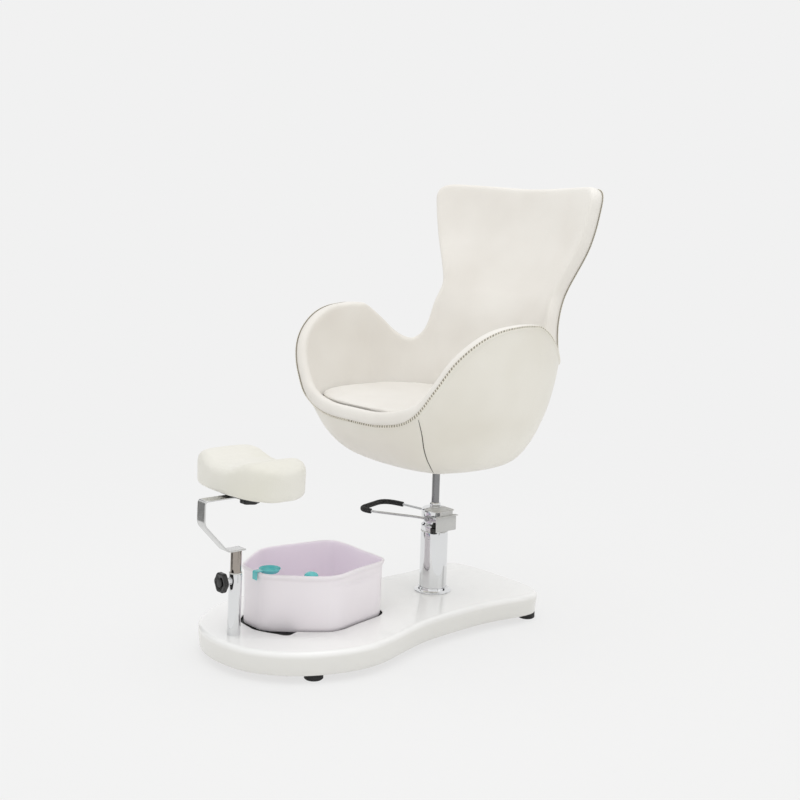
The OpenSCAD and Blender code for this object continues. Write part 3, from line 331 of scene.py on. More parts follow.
def moulded(name, tone, shade, rough, peel_mm, peel_depth, coat=0.0, low=None):
    """A moulded surface: a slow change of tone and a texture; low is a tone of painted shade near
    the floor.
    """
    material, tree, shader, coords = new_material(
        name, {"IOR": 1.5, "Coat Weight": coat, "Coat Roughness": 0.06})
    colour = mixed(tree, blotches(tree, coords, PATCH_MM, 3), tone, shade)
    # Painted shade: the colour darkens towards the floor
    if low:
        height = add(tree, "ShaderNodeSeparateXYZ", {}, {"Vector": coords}).outputs["Z"]
        colour = mixed(tree, spread(tree, height, 0, 1, *SHADED_TOWARDS_FLOOR_M), colour, low)
    smear = blotches(tree, coords, SMEAR_MM, 4, distortion=0.6)
    rubbed = spread(tree, smear, rough * 0.85, rough * 1.2)
    peel = relief(tree, blotches(tree, coords, peel_mm, 2), 0.4, peel_depth)
    wire(tree, shader, {"Base Color": colour, "Roughness": rubbed, "Normal": peel})
    return material


# The skirt darkens towards the floor, from 86 to 70 mm up: painted shade
gel_coat = moulded("white_gel_coat", "#F9F9F8", "#F6F6F5", 0.21, 12, 0.0001, coat=0.35,
                   low="#E2E1DD")
raw_fibre = moulded("raw_glass_fibre", "#CFC8B4", "#B9B09A", 0.7, 3, 0.0006)
tub_white = moulded("white_polypropylene", "#EEE9EC", "#E9E3E7", 0.34, 9, 0.00005)
# The lilac inside is painted light, the tint of light that passes through the wall
tub_inside_painted_lilac_light = moulded("polypropylene_inside_painted_lilac_light", "#F4ECF4", "#EEE4EF", 0.34, 9, 0.00005)
teal_abs = moulded("teal_abs", "#6CCBCC", "#4FB9BC", 0.21, 8, 0.0001, coat=0.2)
bush_acetal = moulded("white_acetal", "#E2E2DE", "#D8D8D2", 0.35, 3, 0.0001)
knob_phenolic = moulded("black_phenolic", "#191919", "#222221", 0.34, 2.5, 0.0002)
board_black = moulded("black_abs_board", "#1B1B1B", "#242424", 0.5, 2, 0.0003)
# Real black rubber on the feet, and painted shade in the deck's recess
rubber_and_recess_shade = moulded("black_rubber_and_painted_recess_shade", "#171717", "#202020", 0.62, 2, 0.0003)
guard_paint = moulded("grey_powder_coat", "#C9C9C7", "#BEBEBC", 0.34, 2.2, 0.0002)
plate_paint = moulded("black_powder_coat", "#202020", "#2A2A2A", 0.55, 2.2, 0.0003)
thread = moulded("cream_bonded_thread", "#EAE6DB", "#DEDACC", 0.6, 1.2, 0.0003)
# The seam fold's dark tone is painted shade of the groove under the roll
seam_fold_painted_shade = moulded("seam_fold_leather_painted_shade", "#9A9486", "#8B8576", 0.8, 2, 0.0003)
# Dark strips in the open seams and in the gap round the cushion: painted shade
painted_gap_shade = moulded("dark_painted_gap_shade", "#3A362E", "#2B2822", 0.8, 2, 0.0003)
print("materials so far:", len(bpy.data.materials))


# %% [markdown]
# Chrome keeps the default IOR of a metal. Handling leaves it slightly uneven: a haze of wiping
# marks changes its roughness, and a ripple of a few hundredths of a millimetre bends the
# reflections.

# %% Metals
def plated(name, tone, rough, haze_mm, ripple_mm, ripple_depth, stretch=(1, 1, 1)):
    """A plated or brushed metal; stretch draws the haze out into lines."""
    material, tree, shader, coords = new_material(name, {"Base Color": linear(tone), "Metallic": 1})
    drawn = add(tree, "ShaderNodeMapping", {"Scale": stretch}, {"Vector": coords}).outputs[0]
    haze = blotches(tree, drawn, haze_mm, 5, rough=0.6)
    ripple = relief(tree, blotches(tree, drawn, ripple_mm, 1), 0.3, ripple_depth)
    wire(tree, shader, {"Roughness": spread(tree, haze, rough * 0.7, rough * 1.5),
                        "Normal": ripple})
    return material


chrome = plated("bright_chrome_plate", "#E4E5E6", 0.05, 45, 60, 0.00025)
rod_chrome = plated("ground_hard_chrome", "#8B8B8C", 0.16, 30, 40, 0.0001)
lever_chrome = plated("bent_rod_chrome", "#C9CACB", 0.12, 12, 20, 0.0002)
nickel_bar = plated("nickel_flat_bar", "#D6D6D5", 0.17, 3, 30, 0.0001, stretch=(1, 1, 0.06))
zinc_steel = plated("zinc_plated_steel", "#B8B9BA", 0.42, 4, 6, 0.0002)
tube_chrome = plated("worn_tube_chrome", "#A79F97", 0.12, 12, 20, 0.0002)
print("materials so far:", len(bpy.data.materials))


# %% [markdown]
# The lever's sleeve is closed-cell foam rubber, cut from tube: dull, with torn cells about 2 mm
# wide. The board inside the deck is plywood, whose grain runs along the deck.

# %% Foam rubber and plywood
def foam(name, tone, shade, cell_mm):
    """Foam rubber with torn cells."""
    material, tree, shader, coords = new_material(name, {"Roughness": 0.85, "IOR": 1.5})
    cells = add(tree, "ShaderNodeTexVoronoi", {"feature": "F1", "Scale": 1000 / cell_mm,
                "Randomness": 1}, {"Vector": coords}).outputs["Distance"]
    wire(tree, shader, {"Base Color": mixed(tree, cells, shade, tone),
                        "Normal": relief(tree, cells, 0.8, 0.0012)})
    return material


def plywood(name, tone, shade, grain_mm):
    """Plywood with its grain along Y."""
    material, tree, shader, coords = new_material(name, {"Roughness": 0.65, "IOR": 1.5})
    along = add(tree, "ShaderNodeMapping", {"Scale": (1, 0.06, 1)}, {"Vector": coords}).outputs[0]
    grain = blotches(tree, along, grain_mm, 6, distortion=0.8)
    wire(tree, shader, {"Base Color": mixed(tree, grain, tone, shade),
                        "Normal": relief(tree, grain, 0.4, 0.0004)})
    return material


grip_foam = foam("black_foam_rubber", "#303030", "#161616", 2.4)
board_ply = plywood("raw_plywood", "#C7A777", "#A98656", 14)
print("materials in all:", len(bpy.data.materials))


# %% [markdown]
# ## Ways to make a shape
# Three helpers make nearly every piece. A turned piece is a profile spun once round an axis. A
# skinned piece is a flat grid whose corners are moved to a formula, with its seam merged. A plate
# is an outline pulled up and bevelled. The others ease corners, draw smooth curves and read tables.

# %% Shape helpers
SIDE_SHARE = 0.46


def bend(start, corner, end, t):
    """A point of the bend from start to end that a corner pulls at."""
    return start * (1 - t) ** 2 + corner * 2 * t * (1 - t) + end * t * t


def eased_corner(before, corner, after, reach):
    """A bend's start, corner and end; it takes no more than a share of either side."""
    back, ahead = before - corner, after - corner
    return (corner + back.normalized() * min(reach, back.length * SIDE_SHARE), corner,
            corner + ahead.normalized() * min(reach, ahead.length * SIDE_SHARE))


def rounded(path, reach, steps=4, closed=False):
    """A path whose corners are eased, starting at the given reach from each corner."""
    points = [Vector(p) for p in path]
    soft = []
    for i, corner in enumerate(points):
        if not closed and i in (0, len(points) - 1):
            soft.append(corner)
            continue
        ends = eased_corner(points[i - 1], corner, points[(i + 1) % len(points)], reach)
        soft += [bend(*ends, j / steps) for j in range(steps + 1)]
    return soft


def curve(a, b, c, d, t):
    """A point of the smooth curve from b to c, with a before it and d after it."""
    return (b * 2 + (c - a) * t + (a * 2 - b * 5 + c * 4 - d) * t * t
            + (b * 3 - a - c * 3 + d) * t ** 3) / 2


def read_steps(table, x, outside, soft=0):
    """A reading between the steps of a table of (x, value); soft, up to 1, rounds the steps."""
    for (a, p), (b, q) in zip(table, table[1:]):
        if a <= x <= b:
            t = (x - a) / (b - a)
            return p + (q - p) * t * t * (3 - 2 * t) * soft + (q - p) * t * (1 - soft)
    return outside


def turned(profile, steps=96, closed=True):
    """A profile of (radius, height) spun round Z."""
    bm = bmesh.new()
    verts = [bm.verts.new((p[0], 0, p[1])) for p in profile]
    pairs = list(zip(verts, verts[1:])) + ([(verts[-1], verts[0])] if closed else [])
    edges = [bm.edges.new(pair) for pair in pairs]
    bmesh.ops.spin(bm, geom=verts + edges, cent=(0, 0, 0), axis=(0, 0, 1), angle=math.tau,
                   steps=steps, use_merge=True)
    bmesh.ops.remove_doubles(bm, verts=bm.verts, dist=MERGE_MM)
    return bm


def lathe(profile, reach, steps, sides, closed=True):
    """A profile of (radius, height), its corners eased, spun round Z."""
    return turned(rounded(profile, reach, steps, closed), sides, closed)


def skinned(round_steps, along_steps, place, band=None):
    """A grid whose corners go to place(u, v), u round and v along, both from 0 to 1."""
    bm = bmesh.new()
    bmesh.ops.create_grid(bm, x_segments=round_steps, y_segments=along_steps, size=0.5)
    if band:
        for face in bm.faces:
            middle = face.calc_center_median()
            face.material_index = band(middle.x + 0.5, middle.y + 0.5)
    uv = bm.loops.layers.uv.new("seam")
    for face in bm.faces:
        for loop in face.loops:
            loop[uv].uv = (loop.vert.co.x + 0.5, loop.vert.co.y + 0.5)
    for vert in bm.verts:
        vert.co = place(vert.co.x + 0.5, vert.co.y + 0.5)
    bmesh.ops.remove_doubles(bm, verts=bm.verts, dist=MERGE_MM)
    return bm


def swept(path, sides, section):
    """A section pulled along a path, with closed ends: section(turn, share, way) is an offset."""
    last = len(path) - 1

    def place(u, v):
        k = round(v * (last + 2))
        i = min(max(k - 1, 0), last)
        way = (path[min(i + 1, last)] - path[max(i - 1, 0)]).normalized()
        return path[i] if k in (0, last + 2) else path[i] + section(u * math.tau, i / last, way)
    return skinned(sides, last + 2, place)


def tube(path, radius, sides):
    """A round rod along a path that lies level; radius is a function of the share of its length."""
    def section(turn, share, way):
        side = way.cross(Vector((0, 0, 1))).normalized()
        return (side * math.cos(turn) + side.cross(way) * math.sin(turn)) * radius(share)
    return swept(path, sides, section)


def plate(outline, low, high, edge=0.8, edge_steps=2):
    """An outline in the XY plane pulled up from low to high, its edges eased."""
    bm = bmesh.new()
    verts = [bm.verts.new((p[0], p[1], low)) for p in outline]
    face = bm.faces.new(verts)
    grown = bmesh.ops.extrude_face_region(bm, geom=[face])
    top = [g for g in grown["geom"] if isinstance(g, bmesh.types.BMVert)]
    bmesh.ops.translate(bm, vec=(0, 0, high - low), verts=top)
    bmesh.ops.recalc_face_normals(bm, faces=bm.faces)
    if edge:
        crisp = [e for e in bm.edges if e.calc_face_angle(0) > math.radians(50)]
        bmesh.ops.bevel(bm, geom=crisp, offset=edge, segments=edge_steps, profile=0.5,
                        affect="EDGES", material=-1)
    return bm


def joined(first, *others):
    """Several bmeshes as one."""
    for other in others:
        mesh = bpy.data.meshes.new("part")
        other.to_mesh(mesh)
        other.free()
        first.from_mesh(mesh)
        bpy.data.meshes.remove(mesh)
    return first


def moved(bm, matrix):
    """A bmesh with a matrix applied to it."""
    bmesh.ops.transform(bm, matrix=matrix, verts=bm.verts)
    return bm


def turn_about(axis, degrees):
    """A turn in degrees."""
    return Matrix.Rotation(math.radians(degrees), 4, axis)


def to(x, y, z):
    """A move from the origin."""
    return Matrix.Translation((x, y, z))


def signed_power(x, power):
    """The power of a number's size, with the number's sign."""
    return math.copysign(abs(x) ** power, x)
print("helpers ready")

# %% [markdown]
# ## Deck
# A pear-shaped tray, upside down: 1142 mm long, with a 66 mm skirt, a soft edge and a shallow
# recess for the tub. The outline is a smooth loop through a few points; the skin runs from the
# inner side of the skirt, round its lip and over the edge to the middle of the top. The recess is
# then cut.

# %% Deck outline
DECK_LENGTH = 1142
DECK_HALF = 302
DECK_AHEAD = 832
POST_Y = -767.02
TUB_MIDDLE = (-42, -477.02)
DECK_TOP = 88
DECK_SHARES = [(0, 0), (0.34, 0.014), (0.6, 0.053), (0.81, 0.115), (0.945, 0.195), (1, 0.276),
               (0.965, 0.354), (0.84, 0.456), (0.755, 0.540), (0.705, 0.658), (0.69, 0.764),
               (0.712, 0.835), (0.745, 0.893), (0.735, 0.946), (0.64, 0.980), (0.46, 0.995),
               (0.22, 1), (0, 1)]


def smooth_loop(points, steps):
    """A smooth curve through a closed list of points."""
    count = len(points)
    return [curve(*(points[(i + k) % count] for k in (-1, 0, 1, 2)), j / steps)
            for i in range(count) for j in range(steps)]


def inset(loop, distance):
    """A closed loop moved inwards."""
    count = len(loop)
    result = []
    for i, point in enumerate(loop):
        way = (loop[(i + 1) % count] - loop[i - 1]).normalized()
        result.append(Vector((point.x - way.y * distance, point.y + way.x * distance)))
    return result


def both_sides(shares):
    """A half outline and its mirror image."""
    return [Vector(s) for s in shares] + [Vector((-x, y)) for x, y in reversed(shares[1:-1])]


deck_loop = smooth_loop([Vector((p.x * DECK_HALF, p.y * DECK_LENGTH - DECK_AHEAD))
                         for p in both_sides(DECK_SHARES)], 6)
print("deck outline:", len(deck_loop), "points")

# %% [markdown]
# The tub's plan is a lopsided octagon with round corners. A way round it, from 0 to 1, is needed
# for the recess, for the tub and for the waves of its rim, so a function gives the point at any
# share.

# %% Tub plan
TUB_WIDE = 190
TUB_LONG = 410
TUB_HALF_SHARES = [(0, -0.5), (0.29, -0.495), (0.84, -0.2), (1, -0.07), (0.885, 0.14),
                   (0.735, 0.47), (0.34, 0.5), (0, 0.5)]
TUB_CORNER = 46
tub_corners = [Vector((p.x * TUB_WIDE + TUB_MIDDLE[0], p.y * TUB_LONG + TUB_MIDDLE[1]))
               for p in both_sides(TUB_HALF_SHARES)]
tub_bends = [eased_corner(tub_corners[i - 1], corner, tub_corners[(i + 1) % len(tub_corners)],
                          TUB_CORNER) for i, corner in enumerate(tub_corners)]


def tub_plan(share):
    """The tub's outline at a share of its way round: an arc at each corner, then a straight."""
    count = len(tub_corners)
    place = (share % 1) * count * 4
    i = int(place // 4) % count
    step = place - 4 * (place // 4)
    if step <= 3:
        return bend(*tub_bends[i], step / 3)
    return tub_bends[i][2].lerp(tub_bends[(i + 1) % count][0], step - 3)


def tub_inset(share, distance):
    """The tub's outline moved inwards."""
    way = (tub_plan(share + 0.004) - tub_plan(share - 0.004)).normalized()
    point = tub_plan(share)
    return Vector((point.x - way.y * distance, point.y + way.x * distance))


print("tub width, mm:", round(max(tub_plan(i / 200).x for i in range(200))
                              - min(tub_plan(i / 200).x for i in range(200))))

# %% Deck shell with its recess
DECK_EDGE = 14
DECK_WALL = 5.8
LIP_TOP = 24.5
# Rows from the inner side of the skirt, round the lip, up and over the edge: (inset, height)
deck_rows = [(11, 83), (10.8, 24), (9.6, 22.3), (7.6, 22), (6.4, 22.6), (DECK_WALL, LIP_TOP)]
deck_rows += [(DECK_WALL * (1 - t), LIP_TOP + (DECK_TOP - DECK_EDGE - LIP_TOP) * t)
              for t in (0.33, 0.66)]
deck_rows += [(DECK_EDGE * (1 - math.cos(a)), DECK_TOP - DECK_EDGE * (1 - math.sin(a)))
              for a in [math.radians(90 * i / 8) for i in range(9)]]
deck_rings = [inset(deck_loop, distance) for distance, height in deck_rows]


def deck_place(u, v):
    """The deck's skin: u round it, v from inside the skirt to the top."""
    i = round(u * len(deck_loop)) % len(deck_loop)
    j = round(v * (len(deck_rows) - 1))
    return Vector((*deck_rings[j][i], deck_rows[j][1]))


deck = skinned(len(deck_loop), len(deck_rows) - 1, deck_place)
bmesh.ops.recalc_face_normals(deck, faces=deck.faces)
# The two open loops, under and on top, are closed: the lower one is the ceiling inside the tray
bmesh.ops.holes_fill(deck, edges=[e for e in deck.edges if e.is_boundary], sides=0)
bmesh.ops.recalc_face_normals(deck, faces=deck.faces)
print("deck:", len(deck.faces), "faces before the recess")


# %% [markdown]
# The recess is a little wider than the tub, most of all at the front left, where a hand finds room
# to lift the tub. A pad is joined on under the top and the recess is cut into it with booleans,
# which make clean edges, and the rim of the recess gets a moulded radius.

# %% Cut the recess
def carved(bm, cuts):
    """A bmesh with other closed bmeshes joined to it or cut from it."""
    form = new_object("blank", bm)
    tools = []
    for operation, tool_bm in cuts:
        tools.append(new_object("tool", tool_bm))
        modifier = form.modifiers.new("cut", "BOOLEAN")
        modifier.operation = operation
        modifier.solver = "EXACT"
        modifier.object = tools[-1]
    bpy.context.view_layer.update()
    result = bmesh.new()
    result.from_mesh(form.evaluated_get(bpy.context.evaluated_depsgraph_get()).data)
    for used in [form, *tools]:
        bpy.data.objects.remove(used)
    return result


# Hand room: (way round from the front left corner, extra width), in mm
HAND_ROOM = [(-60, 0), (0, 3), (70, 8), (120, 14), (160, 28), (182, 38), (196, 36), (206, 18),
             (216, 0)]
RECESS_ROOM = 5
RECESS_FLOOR = 80
OUTLINE_STEPS = 1400


def hand_room(point):
    """How much wider the recess is beside a point of the tub's outline."""
    before, corner, after = (tub_corners[i] for i in (13, 1, 2))
    way = (after - corner).normalized()
    off = point - corner
    round_way = (corner - before).length
    if point.x > corner.x and abs(off.dot(Vector((way.y, -way.x)))) < 14:
        return read_steps(HAND_ROOM, round_way + off.dot(way), 0)
    if point.y < before.y + 20 and point.x < corner.x + 1:
        return read_steps(HAND_ROOM, point.x - before.x, 0)
    return 0


def recess_outline(extra):
    """The recess round the tub, with hand room at the front left, as points about 5 mm apart."""
    points = []
    for i in range(OUTLINE_STEPS):
        share = i / OUTLINE_STEPS
        point = tub_inset(share, -(RECESS_ROOM + extra + hand_room(tub_plan(share))))
        if not points or (point - points[-1]).length > 5:
            points.append(point)
    return points


recess_line = recess_outline(0)
deck = carved(deck, [("UNION", plate(recess_outline(5), 75.2, 84, 0)),
                     ("DIFFERENCE", plate(recess_line, RECESS_FLOOR, 96, 0))])


def in_recess(point):
    """Whether a point lies inside the recess's outline, on the level, or on it."""
    flat = Vector(point[:2])
    if all((b - a).cross(flat - a) > -2 for a, b in zip(recess_line[::8], recess_line[8::8])):
        return True
    return min((q - flat).length for q in recess_line) < 1.5


rim_edges = [e for e in deck.edges if len(e.link_faces) == 2
             and e.calc_face_angle(0) > math.radians(60)
             and all(abs(v.co.z - DECK_TOP) < 0.01 for v in e.verts)]
bmesh.ops.bevel(deck, geom=rim_edges, offset=2.2, segments=3, profile=0.5, affect="EDGES",
                material=-1)
print("recess rim edges:", len(rim_edges))
# The recess's walls and floor get the black rubber finish as painted shade: a dark line round the
# tub's foot, where the narrow gap is in shadow
for face in deck.faces:
    deep = RECESS_FLOOR - 0.5 < face.calc_center_median().z < DECK_TOP - 2.3
    if deep and all(in_recess(v.co) for v in face.verts):
        face.material_index = 1
new_piece("deck_shell", deck, "base", [gel_coat, rubber_and_recess_shade], ["platform_shell"])

# %% [markdown]
# ## Feet
# Four rubber feet carry the board. Each is a turned cushion with a chamfer at the floor and two
# moulded rings round its side.

# %% Rubber feet
FOOT_PLACES = [(side * share[0] * DECK_HALF, share[1] * DECK_LENGTH - DECK_AHEAD)
               for share in ((0.74, 0.166), (0.6, 0.951)) for side in (-1, 1)]
FOOT_PROFILE = [(10, 0), (24, 0), (27.5, 3), (27.5, 6.5), (26.8, 7.2), (27.5, 7.9), (27.5, 13),
                (26.8, 13.7), (27.5, 14.4), (27.5, 19.9), (17, 20.1), (17, 57), (4, 57), (4, 51),
                (10, 51)]
feet = [moved(lathe(FOOT_PROFILE, 0.8, 2, 48), to(x, y, 0)) for x, y in FOOT_PLACES]
new_piece("foot_cushions", joined(*feet), "base", [rubber_and_recess_shade],
          ["rubber_feet"])

# %% [markdown]
# ## Pump
# Flange, sleeve, head, collar and rod are all turned. The profile of each is eased at its corners,
# as polishing before plating does, and spun once round the pump's axis.

# %% Bell flange, sleeve, collar and rod
flange = lathe([(44.6, 88.1), (59, 88.1), (60.5, 89.6), (59.5, 91.2), (55.5, 92.6), (50, 95.4),
                (48.2, 99.4), (47.6, 102.6), (44.6, 103)], 1.0, 3, 128)
new_piece("bell_flange", flange, "base", [chrome], ["pump_flange"])
sleeve = lathe([(41.5, 84), (44.5, 84), (44.5, 282), (41.5, 282)], 0.9, 3, 128)
new_piece("sleeve_tube", sleeve, "base", [chrome], ["pump_sleeve"])
collar = lathe([(12.6, 357.1), (17.6, 357.1), (17.6, 360), (16.9, 360.6), (16.9, 361.4),
                (17.6, 362), (17.6, 371), (15, 374), (12.6, 374)], 0.5, 2, 96)
new_piece("rod_ring", collar, "pump_head", [chrome], ["rod_collar"])
rod = turned([(0, 167.4), (12.5, 167.4), (12.5, 506.05), (0, 506.05)], 96, closed=False)
new_piece("lift_rod", rod, "seat", [rod_chrome], ["piston_rod"])

# %% [markdown]
# The head is turned too, with a deep waist, and has a small barrel at its side for the plunger. The
# lever's own frame is turned by 198 degrees, and everything on the head is drawn in it.

# %% Pump head with its barrel
HEAD_LOW = 284.05
LEVER_TURN = turn_about("Z", 198)
ROD_LINE = 48.5
PIVOT_Z = 327.85
ON_LEVER = LEVER_TURN @ to(0, 0, PIVOT_Z)
PLUNGER_AT = (-26, ROD_LINE)
head = moved(lathe([(12.6, 0), (44, 0), (44, 18), (37, 25), (37, 37), (44, 44), (44, 68), (39, 73),
                    (12.6, 73)], 1.6, 3, 128), to(0, 0, HEAD_LOW))
web = moved(plate([(-38, 30), (-14, 30), (-14, ROD_LINE), (-38, ROD_LINE)], 0.3, 17.7, 1.2),
            LEVER_TURN @ to(0, 0, HEAD_LOW))
barrel = moved(lathe([(6.1, 2), (6.1, 18), (12, 18), (12, 0), (0, 0), (0, 2)], 1.2, 3, 48, False),
               LEVER_TURN @ to(*PLUNGER_AT, HEAD_LOW))
new_piece("head_body", joined(head, web), "pump_head", [chrome],
          ["head_casting"])
new_piece("valve_barrel", barrel, "pump_head", [knob_phenolic])
# Bolts of the lever: round pins with a hexagon socket head
pins = []
for side in (-1, 1):
    pin = lathe([(0, 23), (5, 23), (5, 52.8), (7.5, 52.8), (7.5, 55.8), (3.2, 55.8), (3.2, 54),
                 (0, 54)],
                0.5, 2, 40, False)
    pins.append(moved(pin, ON_LEVER @ turn_about("X", -side * 90)))
new_piece("lever_pins", joined(*pins), "pump_head", [zinc_steel], ["pivot_pins"])

# %% [markdown]
# A folded steel guard covers the linkage: a level panel on top of the head, a cheek folded down
# beside it, and a narrow flange folded out. Each is a flat plate of sheet with eased edges, and the
# three are joined.

# %% Linkage guard
GUARD_TOP = 359.05
SHEET = 2
panel = plate(rounded([(0, -58, 0), (72, -58, 0), (72, 28, 0), (0, 28, 0)], 22, 5, closed=True),
              GUARD_TOP - SHEET, GUARD_TOP, 0.7)
# The cheek stands in the YZ plane: drawn flat as (y, z) and turned up
TO_CHEEK = Matrix(((0, 0, 1, 0), (1, 0, 0, 0), (0, 1, 0, 0), (0, 0, 0, 1)))
cheek_outline = [(-58, 295), (28, 295), (28, 345), (12, 347), (12, GUARD_TOP - 0.6),
                 (-42, GUARD_TOP - 0.6), (-42, 347), (-58, 345)]
cheek = moved(plate(cheek_outline, 70, 72, 0.7), TO_CHEEK)
lip = plate([(71, -58), (82, -58), (82, 28), (71, 28)], GUARD_TOP - 16, GUARD_TOP - 14, 0.7)
new_piece("linkage_guard", joined(panel, cheek, lip), "pump_head",
          [guard_paint], ["linkage_cover"])

# %% [markdown]
# ## Pedal
# The lever is one 8 mm rod bent into a loop, with an eye on each pivot pin and a tail that presses
# the plunger. Its outer end wears a sleeve of foam rubber.

# %% Lever, grip and plunger
LEVER_REACH = 248
LEVER_HALF = 76
LEVER_KNEE = 42.16
LEVER_WIDE_FROM = 185
ROD_RADIUS = 4
loop_corners = [(LEVER_KNEE, ROD_LINE), (LEVER_WIDE_FROM, LEVER_HALF), (LEVER_REACH, LEVER_HALF),
                (LEVER_REACH, -LEVER_HALF), (LEVER_WIDE_FROM, -LEVER_HALF), (LEVER_KNEE, -ROD_LINE)]
loop_reaches = [16.8, 16.8, 42, 42, 16.8, 16.8]


def bent_loop(steps):
    """The lever's line from pivot to pivot, each corner bent on its own reach."""
    whole = [Vector((x, y, 0)) for x, y in [(6, ROD_LINE), *loop_corners, (6, -ROD_LINE)]]
    points = whole[:1]
    for reach, a, corner, b in zip(loop_reaches, whole, whole[1:], whole[2:]):
        start = corner + (a - corner).normalized() * reach
        end = corner + (b - corner).normalized() * reach
        points += [bend(start, corner, end, j / steps) for j in range(steps + 1)]
    return points + whole[-1:]


lever_rod = tube(bent_loop(8), lambda share: ROD_RADIUS, 20)
eyes = []
for side in (-1, 1):
    eye = lathe([(5.05, -3.5), (10, -3.5), (10, 3.5), (5.05, 3.5)], 0.8, 2, 48)
    eyes.append(moved(eye, to(0, side * ROD_LINE, 0) @ turn_about("X", 90)))
tail = moved(plate([(-35, -8), (-8.6, -8), (-8.6, 8), (-35, 8)], -3, 3, 0.9),
             to(0, ROD_LINE, 0) @ turn_about("X", 90))
new_piece("pedal_loop", moved(joined(lever_rod, *eyes, tail), ON_LEVER), "pedal",
          [lever_chrome], ["lever_loop"])


# The sleeve follows the loop round its outer end, and stops sooner on one leg than on the other
GRIP_FROM = (199, 166)
grip_path = [p for p in bent_loop(16) if p.x > GRIP_FROM[0 if p.y > 0 else 1]]


def grip_radius(way):
    """The sleeve bulges a little in its bends and is cut square at its ends."""
    return 8.3 + 0.2 * math.sin(way * math.pi * 14) ** 2


grip = moved(tube(grip_path, grip_radius, 28), ON_LEVER)
new_piece("grip_sleeve", grip, "pedal", [grip_foam], ["foam_grip"])

BOOT_LOW = 306.05
PLUNGER_PROFILE = [(0, 290), (6, 290), (6, BOOT_LOW), (9, BOOT_LOW), (9, BOOT_LOW + 1.6),
                   (7.4, BOOT_LOW + 2.2), (9, BOOT_LOW + 2.8), (9, BOOT_LOW + 4.2),
                   (7.4, BOOT_LOW + 5), (6, BOOT_LOW + 6), (6, 313.6), (4.6, 317), (2.4, 318.9),
                   (0, 319.1)]
plunger = moved(lathe(PLUNGER_PROFILE, 0.5, 2, 40, False), LEVER_TURN @ to(*PLUNGER_AT, 0))
new_piece("valve_plunger", plunger, "valve", [knob_phenolic], ["plunger"])

# %% [markdown]
# ## Seat shell
# The egg-shaped body is one formula: a half width and two reaches at each height, and at each
# height a curve that is rounder at the back and squarer at the front. The rim is a line on that
# body. Every layer of the shell is the same skin moved inwards, so the layers never cross.

# %% The body's formula
SHELL_LOW = 466.05
SEAT_HEIGHT = 946
SEAT_HALF = 440
SEAT_FRONT = 440
SEAT_REAR = 430
RISES = [0, 0.010, 0.026, 0.053, 0.085, 0.142, 0.214, 0.290, 0.406, 0.543, 0.636, 0.808, 1]


def with_slopes(values):
    """Each value of a table with its slope, taken from its two neighbours."""
    last = len(RISES) - 1
    pairs = [(max(i - 1, 0), min(i + 1, last)) for i in range(last + 1)]
    return [(v, (values[k] - values[j]) / (RISES[k] - RISES[j]))
            for v, (j, k) in zip(values, pairs)]


WIDE = with_slopes([0, 0.114, 0.255, 0.491, 0.659, 0.784, 0.882, 0.950, 1, 1, 0.995, 1.236, 1.391])
FRONT = with_slopes([0, 0.100, 0.239, 0.455, 0.607, 0.736, 0.823, 0.912, 1.006] + [1.052] * 4)
REAR = with_slopes([0, 0.085, 0.220, 0.395, 0.470, 0.540, 0.590, 0.640, 0.703, 0.745, 0.848, 0.957,
                    1])
FRONT_POWER = 2 / 2.7


def read_table(table, rise):
    """A smooth reading of a table whose steps are uneven."""
    rise = min(max(rise, 0), 1)
    i = min(bisect.bisect_right(RISES, rise) - 1, len(RISES) - 2)
    w = RISES[i + 1] - RISES[i]
    u = (rise - RISES[i]) / w
    (p, slope_p), (q, slope_q) = table[i], table[i + 1]
    return (p * (1 + 2 * u) * (1 - u) ** 2 + slope_p * w * u * (1 - u) ** 2
            + q * u * u * (3 - 2 * u) - slope_q * w * u * u * (1 - u))


def body_point(turn, rise):
    """A point on the outside of the shell; turn runs from the front, 0, to the back, 180."""
    turn = (turn + 180) % 360 - 180
    side = -1 if turn < 0 else 1
    a = math.radians(abs(turn))
    z = SHELL_LOW + rise * SEAT_HEIGHT
    wide = SEAT_HALF * read_table(WIDE, rise)
    if abs(turn) <= 90:
        return Vector((side * wide * max(0, math.sin(a)) ** FRONT_POWER,
                       -SEAT_FRONT * read_table(FRONT, rise) * max(0, math.cos(a)) ** FRONT_POWER,
                       z))
    return Vector((side * wide * math.sin(a), -SEAT_REAR * read_table(REAR, rise) * math.cos(a), z))


def body_inward(turn, rise):
    """The direction into the shell, square to its skin."""
    up = body_point(turn, min(1, rise + 0.02)) - body_point(turn, max(0, rise - 0.02))
    on = body_point(turn + 2, rise) - body_point(turn - 2, rise)
    return up.cross(on).normalized()


def body_layer(turn, rise, depth):
    """A point at a depth under the skin."""
    return body_point(turn, rise) + body_inward(turn, rise) * depth


print("shell width at the arms, mm:", round(2 * body_point(90, 0.5).x))

# %% [markdown]
# The rim is kept as stations round half the shell: the turn where a column of the skin leaves the
# bottom, the turn where it meets the rim, and the rim's height. Between stations a smooth curve is
# used, and the other half is the mirror image.

